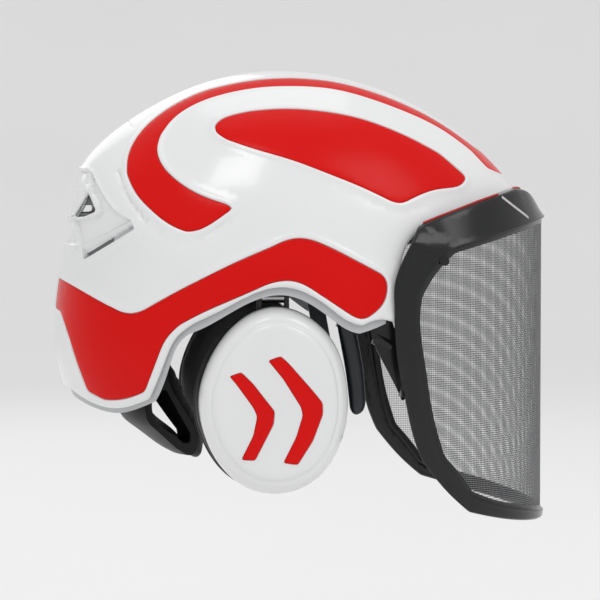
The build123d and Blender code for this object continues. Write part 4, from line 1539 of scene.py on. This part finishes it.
class StageSettings(bpy.types.PropertyGroup):
    azimuth: FloatProperty(
        name="Azimuth", description="Camera angle round the helmet", default=math.radians(-5.87),
        subtype="ANGLE")
    elevation: FloatProperty(
        name="Elevation", description="Camera angle above level", default=math.radians(2.58),
        subtype="ANGLE")
    distance: FloatProperty(
        name="Distance", description="From the camera to the helmet's middle", default=1.655,
        unit="LENGTH", subtype="DISTANCE")
    lens: FloatProperty(
        name="Lens", description="Focal length in millimetres", default=149.4, unit="CAMERA")
    target: FloatVectorProperty(
        name="Target", description="Point the camera looks at", default=(0.0099, 0.0, 0.0231),
        subtype="XYZ", unit="LENGTH")
    floor: FloatProperty(
        name="Floor", description="Height of the floor", default=-0.28, unit="LENGTH",
        subtype="DISTANCE")


class HelmetSettings(bpy.types.PropertyGroup):
    colour: PointerProperty(type=ColourSettings)
    shell: PointerProperty(type=ShellSettings)
    visor: PointerProperty(type=VisorSettings)
    cup: PointerProperty(type=CupSettings)
    harness: PointerProperty(type=HarnessSettings)
    stage: PointerProperty(type=StageSettings)


# ----------------------------------------------------------------- operators
class HelmetShell(bpy.types.Operator):
    """Build the white outer shell"""
    bl_idname = "helmet.shell"
    bl_label = "Outer shell"

    def execute(self, context):
        settings = context.scene.helmet.shell
        points, faces = make_shell(settings.spacing / MM)
        made = piece("shell_skin", points, faces, "shell", "shell_white", ("outer_shell",),
                     50.0, 0.05)
        thicken(made, settings.wall / MM)
        return {"FINISHED"}


class HelmetPanels(bpy.types.Operator):
    """Build the red side, leaf and stripe panels"""
    bl_idname = "helmet.panels"
    bl_label = "Red panels"

    def execute(self, context):
        settings = context.scene.helmet.shell
        for name, outline in panel_outlines().items():
            points, faces = make_panel(outline, settings.spacing / MM * 1.2)
            if name == "stripe_panel":
                points, faces = mirrored(points, faces)
                made = piece("stripe_skin", points, faces, "shell", "panel_red", (name,),
                             50.0, 0.05)
                thicken(made, settings.panel_wall / MM)
                continue
            for side_name, side in SIDES:
                node = f"{name}_{side_name}"
                made = piece(f"{name}_skin_{side_name}", on_side(points, side), faces, "shell",
                             "panel_red", (node,), 50.0, 0.05)
                thicken(made, settings.panel_wall / MM)
        return {"FINISHED"}


class HelmetLiner(bpy.types.Operator):
    """Finish the inner shell and the rear grille"""
    bl_idname = "helmet.liner"
    bl_label = "Liner and grille"

    def execute(self, context):
        dress("inner_shell", "liner_grey")
        dress("rear_grille", "grille_grey", 0.4)
        return {"FINISHED"}


class HelmetVisorFrame(bpy.types.Operator):
    """Build the visor's frame, brow and chin ribs"""
    bl_idname = "helmet.visor_frame"
    bl_label = "Visor frame"

    def execute(self, context):
        settings = context.scene.helmet.visor
        points, faces = make_visor_frame(2.6)
        made = piece("visor_wall", points, faces, "visor", "frame_black", ("visor_frame",),
                     40.0, 0.05)
        thicken(made, VISOR_WALL - 0.5)
        points, faces = make_brow_shelf()
        brow = piece("visor_brow", points, faces, "visor", "frame_black", (), 50.0, 0.05)
        thicken(brow, 2.0)
        points, faces = make_chin_ribs(settings.rib_pitch / MM)
        piece("visor_chin_ribs", points, faces, "visor", "frame_black", (), 30.0)
        points, faces = make_chin_shelf()
        shelf = piece("visor_chin_shelf", points, faces, "visor", "frame_black", (), 50.0, 0.05)
        thicken(shelf, 1.4)
        # The light grey strip on the brow is a painted reflection.
        points, faces = make_painted_brow_glint()
        piece("visor_brow_strip", points, faces, "visor", "liner_grey", (), 50.0)
        points, faces = make_brow_bead()
        piece("visor_brow_bead", points, faces, "visor", "seal_red", (), 60.0)
        return {"FINISHED"}


class HelmetVisorMesh(bpy.types.Operator):
    """Build the visor's wire mesh"""
    bl_idname = "helmet.visor_mesh"
    bl_label = "Visor mesh"

    def execute(self, context):
        settings = context.scene.helmet.visor
        names = ("visor_wires_across", "visor_wires_up")
        sets = make_wires(settings.pitch / MM, settings.wire / MM)
        for name, (points, faces) in zip(names, sets):
            nodes = ("visor_mesh",) if name == names[0] else ()
            piece(name, points, faces, "visor", "mesh_dark", nodes, 180.0)
        return {"FINISHED"}


class HelmetVisorHardware(bpy.types.Operator):
    """Finish the visor's arms, levers, seal and latches"""
    bl_idname = "helmet.visor_hardware"
    bl_label = "Visor hardware"

    def execute(self, context):
        edge = context.scene.helmet.harness.edge / MM
        for side_name, _ in SIDES:
            dress(f"visor_arm_{side_name}", "frame_black", edge)
            dress(f"visor_lever_{side_name}", "frame_black", edge)
            dress(f"visor_bracket_{side_name}", "frame_black", edge)
        dress("visor_seal", "seal_red", 0.3)
        dress("visor_latches", "frame_black", 0.3)
        dress("visor_pins", "steel_pin", 0.2)
        return {"FINISHED"}


class HelmetCupCaps(bpy.types.Operator):
    """Build the ear cups' caps and their red chevrons"""
    bl_idname = "helmet.cup_caps"
    bl_label = "Ear cup caps"

    def execute(self, context):
        spacing = context.scene.helmet.cup.spacing / MM
        points, faces = make_cap(spacing)
        chevrons = [make_chevron(loop, spacing) for loop in chevron_loops()]
        for side_name, side in SIDES:
            body = f"cup_{side_name}"
            made = piece(f"cup_skin_{side_name}", on_side(points, side), faces, body, "cup_white",
                         (f"cup_cap_{side_name}",), 50.0, 0.05)
            thicken(made, 2.2)
            for part, (marks, marked) in zip(("rear", "front"), chevrons):
                made = piece(f"cup_chevron_{part}_{side_name}", on_side(marks, side), marked, body,
                             "panel_red", (f"cup_chevrons_{side_name}",), 50.0, 0.05)
                thicken(made, 0.9)
        return {"FINISHED"}


class HelmetCushions(bpy.types.Operator):
    """Build the ear cups' cushions and foam"""
    bl_idname = "helmet.cushions"
    bl_label = "Ear cushions"

    def execute(self, context):
        settings = context.scene.helmet.cup
        points, faces = make_cushion()
        piping = make_cushion_seams()
        foam = make_foam()
        form = new_object("cushion_form", points, faces, 60.0, 0.05)
        plump = stuff(form, settings.pressure, 1.2)
        reshape(plump, arm_room)
        shaped = np.array([v.co for v in plump.data.vertices]) / MM
        faces = [tuple(p.vertices) for p in plump.data.polygons]
        bpy.data.objects.remove(plump)
        for side_name, side in SIDES:
            body = f"cup_{side_name}"
            made = piece(f"cup_pad_{side_name}", on_side(shaped, side), faces, body,
                         "cushion_black", (f"cup_cushion_{side_name}",), 60.0, 0.01)
            piece(f"cup_piping_{side_name}", on_side(piping[0], side), piping[1], body,
                  "cushion_black", (), 60.0, 0.01)
            soft = piece(f"cup_foam_sheet_{side_name}", on_side(foam[0], side), foam[1], body,
                         "foam_grey", (f"cup_foam_{side_name}",), 60.0, 0.01)
        return {"FINISHED"}


class HelmetCupHardware(bpy.types.Operator):
    """Finish the cups' bases, arms, hangers, brackets and pins"""
    bl_idname = "helmet.cup_hardware"
    bl_label = "Cup hardware"

    def execute(self, context):
        edge = context.scene.helmet.harness.edge / MM
        for side_name, _ in SIDES:
            for node in ("cup_arm", "cup_bracket"):
                dress(f"{node}_{side_name}", "cup_black", edge)
            for node in ("cup_hanger", "cup_arm_pins", "cup_tilt_pin"):
                dress(f"{node}_{side_name}", "steel_pin", 0.2)
        plate = make_base()
        for side_name, side in SIDES:
            for part, (points, faces) in zip(("plate", "lug_rear", "lug_front"), plate):
                piece(f"cup_{part}_{side_name}", on_side(points, side), faces, f"cup_{side_name}",
                      "cup_black", (f"cup_base_{side_name}",), 35.0, 0.01)
        return {"FINISHED"}


class HelmetStraps(bpy.types.Operator):
    """Build the two woven crown straps"""
    bl_idname = "helmet.straps"
    bl_label = "Crown straps"

    def execute(self, context):
        for name, make in (("strap_long", make_long_strap), ("strap_cross", make_cross_strap)):
            points, faces = make()
            piece(f"{name}_webbing", points, faces, "shell", "webbing", (name,), 50.0, 0.01)
        return {"FINISHED"}


class HelmetPads(bpy.types.Operator):
    """Build the forehead band, the crown pad and the nape pad"""
    bl_idname = "helmet.pads"
    bl_label = "Pads"

    def execute(self, context):
        pressure = context.scene.helmet.harness.pressure
        for name, make, body, voxel, most in (
            ("sweatband", make_sweatband, "shell", 1.6, 0.6),
            ("crown_pad", make_crown_pad, "shell", 3.0, 0.8),
            ("nape_pad", make_nape_pad, "nape", 2.5, 0.8),
        ):
            points, faces = make()
            made = new_object(f"{name}_cloth", points, faces, 60.0, 0.05)
            stuff(made, pressure, most, voxel)
            finish_piece(made, body, "pad_fabric", finish_for("pad_fabric"), name)
        return {"FINISHED"}


class HelmetHarness(bpy.types.Operator):
    """Finish the head ring, keys, nape band, cradle and knob"""
    bl_idname = "helmet.harness"
    bl_label = "Harness"

    def execute(self, context):
        edge = context.scene.helmet.harness.edge / MM
        for node in ("head_ring", "suspension_keys", "nape_band", "knob_housing", "nape_cradle",
                     "size_knob"):
            dress(node, "harness_black", edge)
        points, faces = make_tab()
        for side_name, side in SIDES:
            piece(f"temple_tongue_{side_name}", on_side(points, side), faces, "shell",
                  "tab_blue_black", (f"temple_tab_{side_name}",), 60.0, 0.01)
        return {"FINISHED"}


class HelmetStage(bpy.types.Operator):
    """Set the floor, the lights and the camera"""
    bl_idname = "helmet.stage"
    bl_label = "Floor, lights and camera"

    def execute(self, context):
        settings = context.scene.helmet.stage
        set_floor(settings.floor)
        set_lights()
        set_camera(settings)
        return {"FINISHED"}


def set_floor(height):
    turn = np.linspace(0, 2 * math.pi, 96, endpoint=False)
    rows = []
    for reach, rise in ((0.01, 0), (3.4, 0), (3.9, 0.03), (4.4, 0.14), (4.9, 0.42), (5.2, 0.85),
                        (5.35, 1.5)):
        rows.append(np.column_stack([
            reach / MM * np.cos(turn), reach / MM * np.sin(turn),
            np.full(len(turn), (rise + height) / MM),
        ]))
    points, faces = loft(rows, ends=False)
    floor = new_object("floor", points, faces, 90.0)
    paint = Paint("floor_paper", (0.93, 0.93, 0.93), 0.9)
    paint.two_colours(paint.noise(3.0, 2.0), (0.92, 0.92, 0.92), (0.94, 0.94, 0.94))
    floor.data.materials.append(paint.material)


def set_lights():
    world = bpy.data.worlds.new("studio")
    bpy.context.scene.world = world
    world.use_nodes = True
    back = world.node_tree.nodes["Background"]
    back.inputs["Color"].default_value = (1.0, 1.0, 1.0, 1.0)
    back.inputs["Strength"].default_value = 0.74
    bpy.context.scene.view_settings.view_transform = "Standard"
    for name, place, size, power in (
        ("key", (1.3, -1.6, 2.0), 1.0, 9.0),
        ("gloss", (-0.5, -1.5, 1.9), 0.6, 4.5),
        ("top", (0.0, 0.3, 2.4), 1.6, 7.0),
        ("back", (-0.6, 2.2, 1.2), 1.4, 4.0),
    ):
        light = bpy.data.lights.new(name, "AREA")
        light.size = size
        light.energy = power
        lamp = bpy.data.objects.new(name, light)
        lamp.location = place
        aim = Vector((0, 0, 0.02)) - Vector(place)
        lamp.rotation_euler = aim.to_track_quat("-Z", "Y").to_euler()
        bpy.context.scene.collection.objects.link(lamp)


def set_camera(settings):
    lens = bpy.data.cameras.new("camera")
    lens.lens = settings.lens
    lens.sensor_width = 36.0
    lens.clip_end = 50.0
    camera = bpy.data.objects.new("camera", lens)
    level = math.cos(settings.elevation) * settings.distance
    away = Vector((
        level * math.sin(settings.azimuth), -level * math.cos(settings.azimuth),
        math.sin(settings.elevation) * settings.distance,
    ))
    camera.location = Vector(settings.target) + away
    camera.rotation_euler = (-away).to_track_quat("-Z", "Y").to_euler()
    bpy.context.scene.collection.objects.link(camera)
    bpy.context.scene.camera = camera


class HelmetPanel(bpy.types.Panel):
    """Lists the helmet's pieces"""
    bl_idname = "VIEW3D_PT_helmet"
    bl_label = "Forestry helmet"
    bl_space_type = "VIEW_3D"
    bl_region_type = "UI"
    bl_category = "Helmet"

    def draw(self, context):
        for operator in OPERATORS:
            self.layout.operator(operator.bl_idname)


SETTINGS = (
    ColourSettings, ShellSettings, VisorSettings, CupSettings, HarnessSettings, StageSettings,
    HelmetSettings,
)
OPERATORS = (
    HelmetShell, HelmetPanels, HelmetLiner, HelmetVisorFrame, HelmetVisorMesh,
    HelmetVisorHardware, HelmetCupCaps, HelmetCushions, HelmetCupHardware, HelmetStraps,
    HelmetPads, HelmetHarness, HelmetStage,
)


def register():
    for item in (*SETTINGS, *OPERATORS, HelmetPanel):
        bpy.utils.register_class(item)
    bpy.types.Scene.helmet = PointerProperty(type=HelmetSettings)


def unregister():
    del bpy.types.Scene.helmet
    for item in reversed((*SETTINGS, *OPERATORS, HelmetPanel)):
        bpy.utils.unregister_class(item)


def main():
    register()
    bpy.ops.helmet.shell()
    bpy.ops.helmet.panels()
    bpy.ops.helmet.liner()
    bpy.ops.helmet.visor_frame()
    bpy.ops.helmet.visor_mesh()
    bpy.ops.helmet.visor_hardware()
    bpy.ops.helmet.cup_caps()
    bpy.ops.helmet.cushions()
    bpy.ops.helmet.cup_hardware()
    bpy.ops.helmet.straps()
    bpy.ops.helmet.pads()
    bpy.ops.helmet.harness()
    bpy.ops.helmet.stage()


if __name__ == "__main__":
    main()
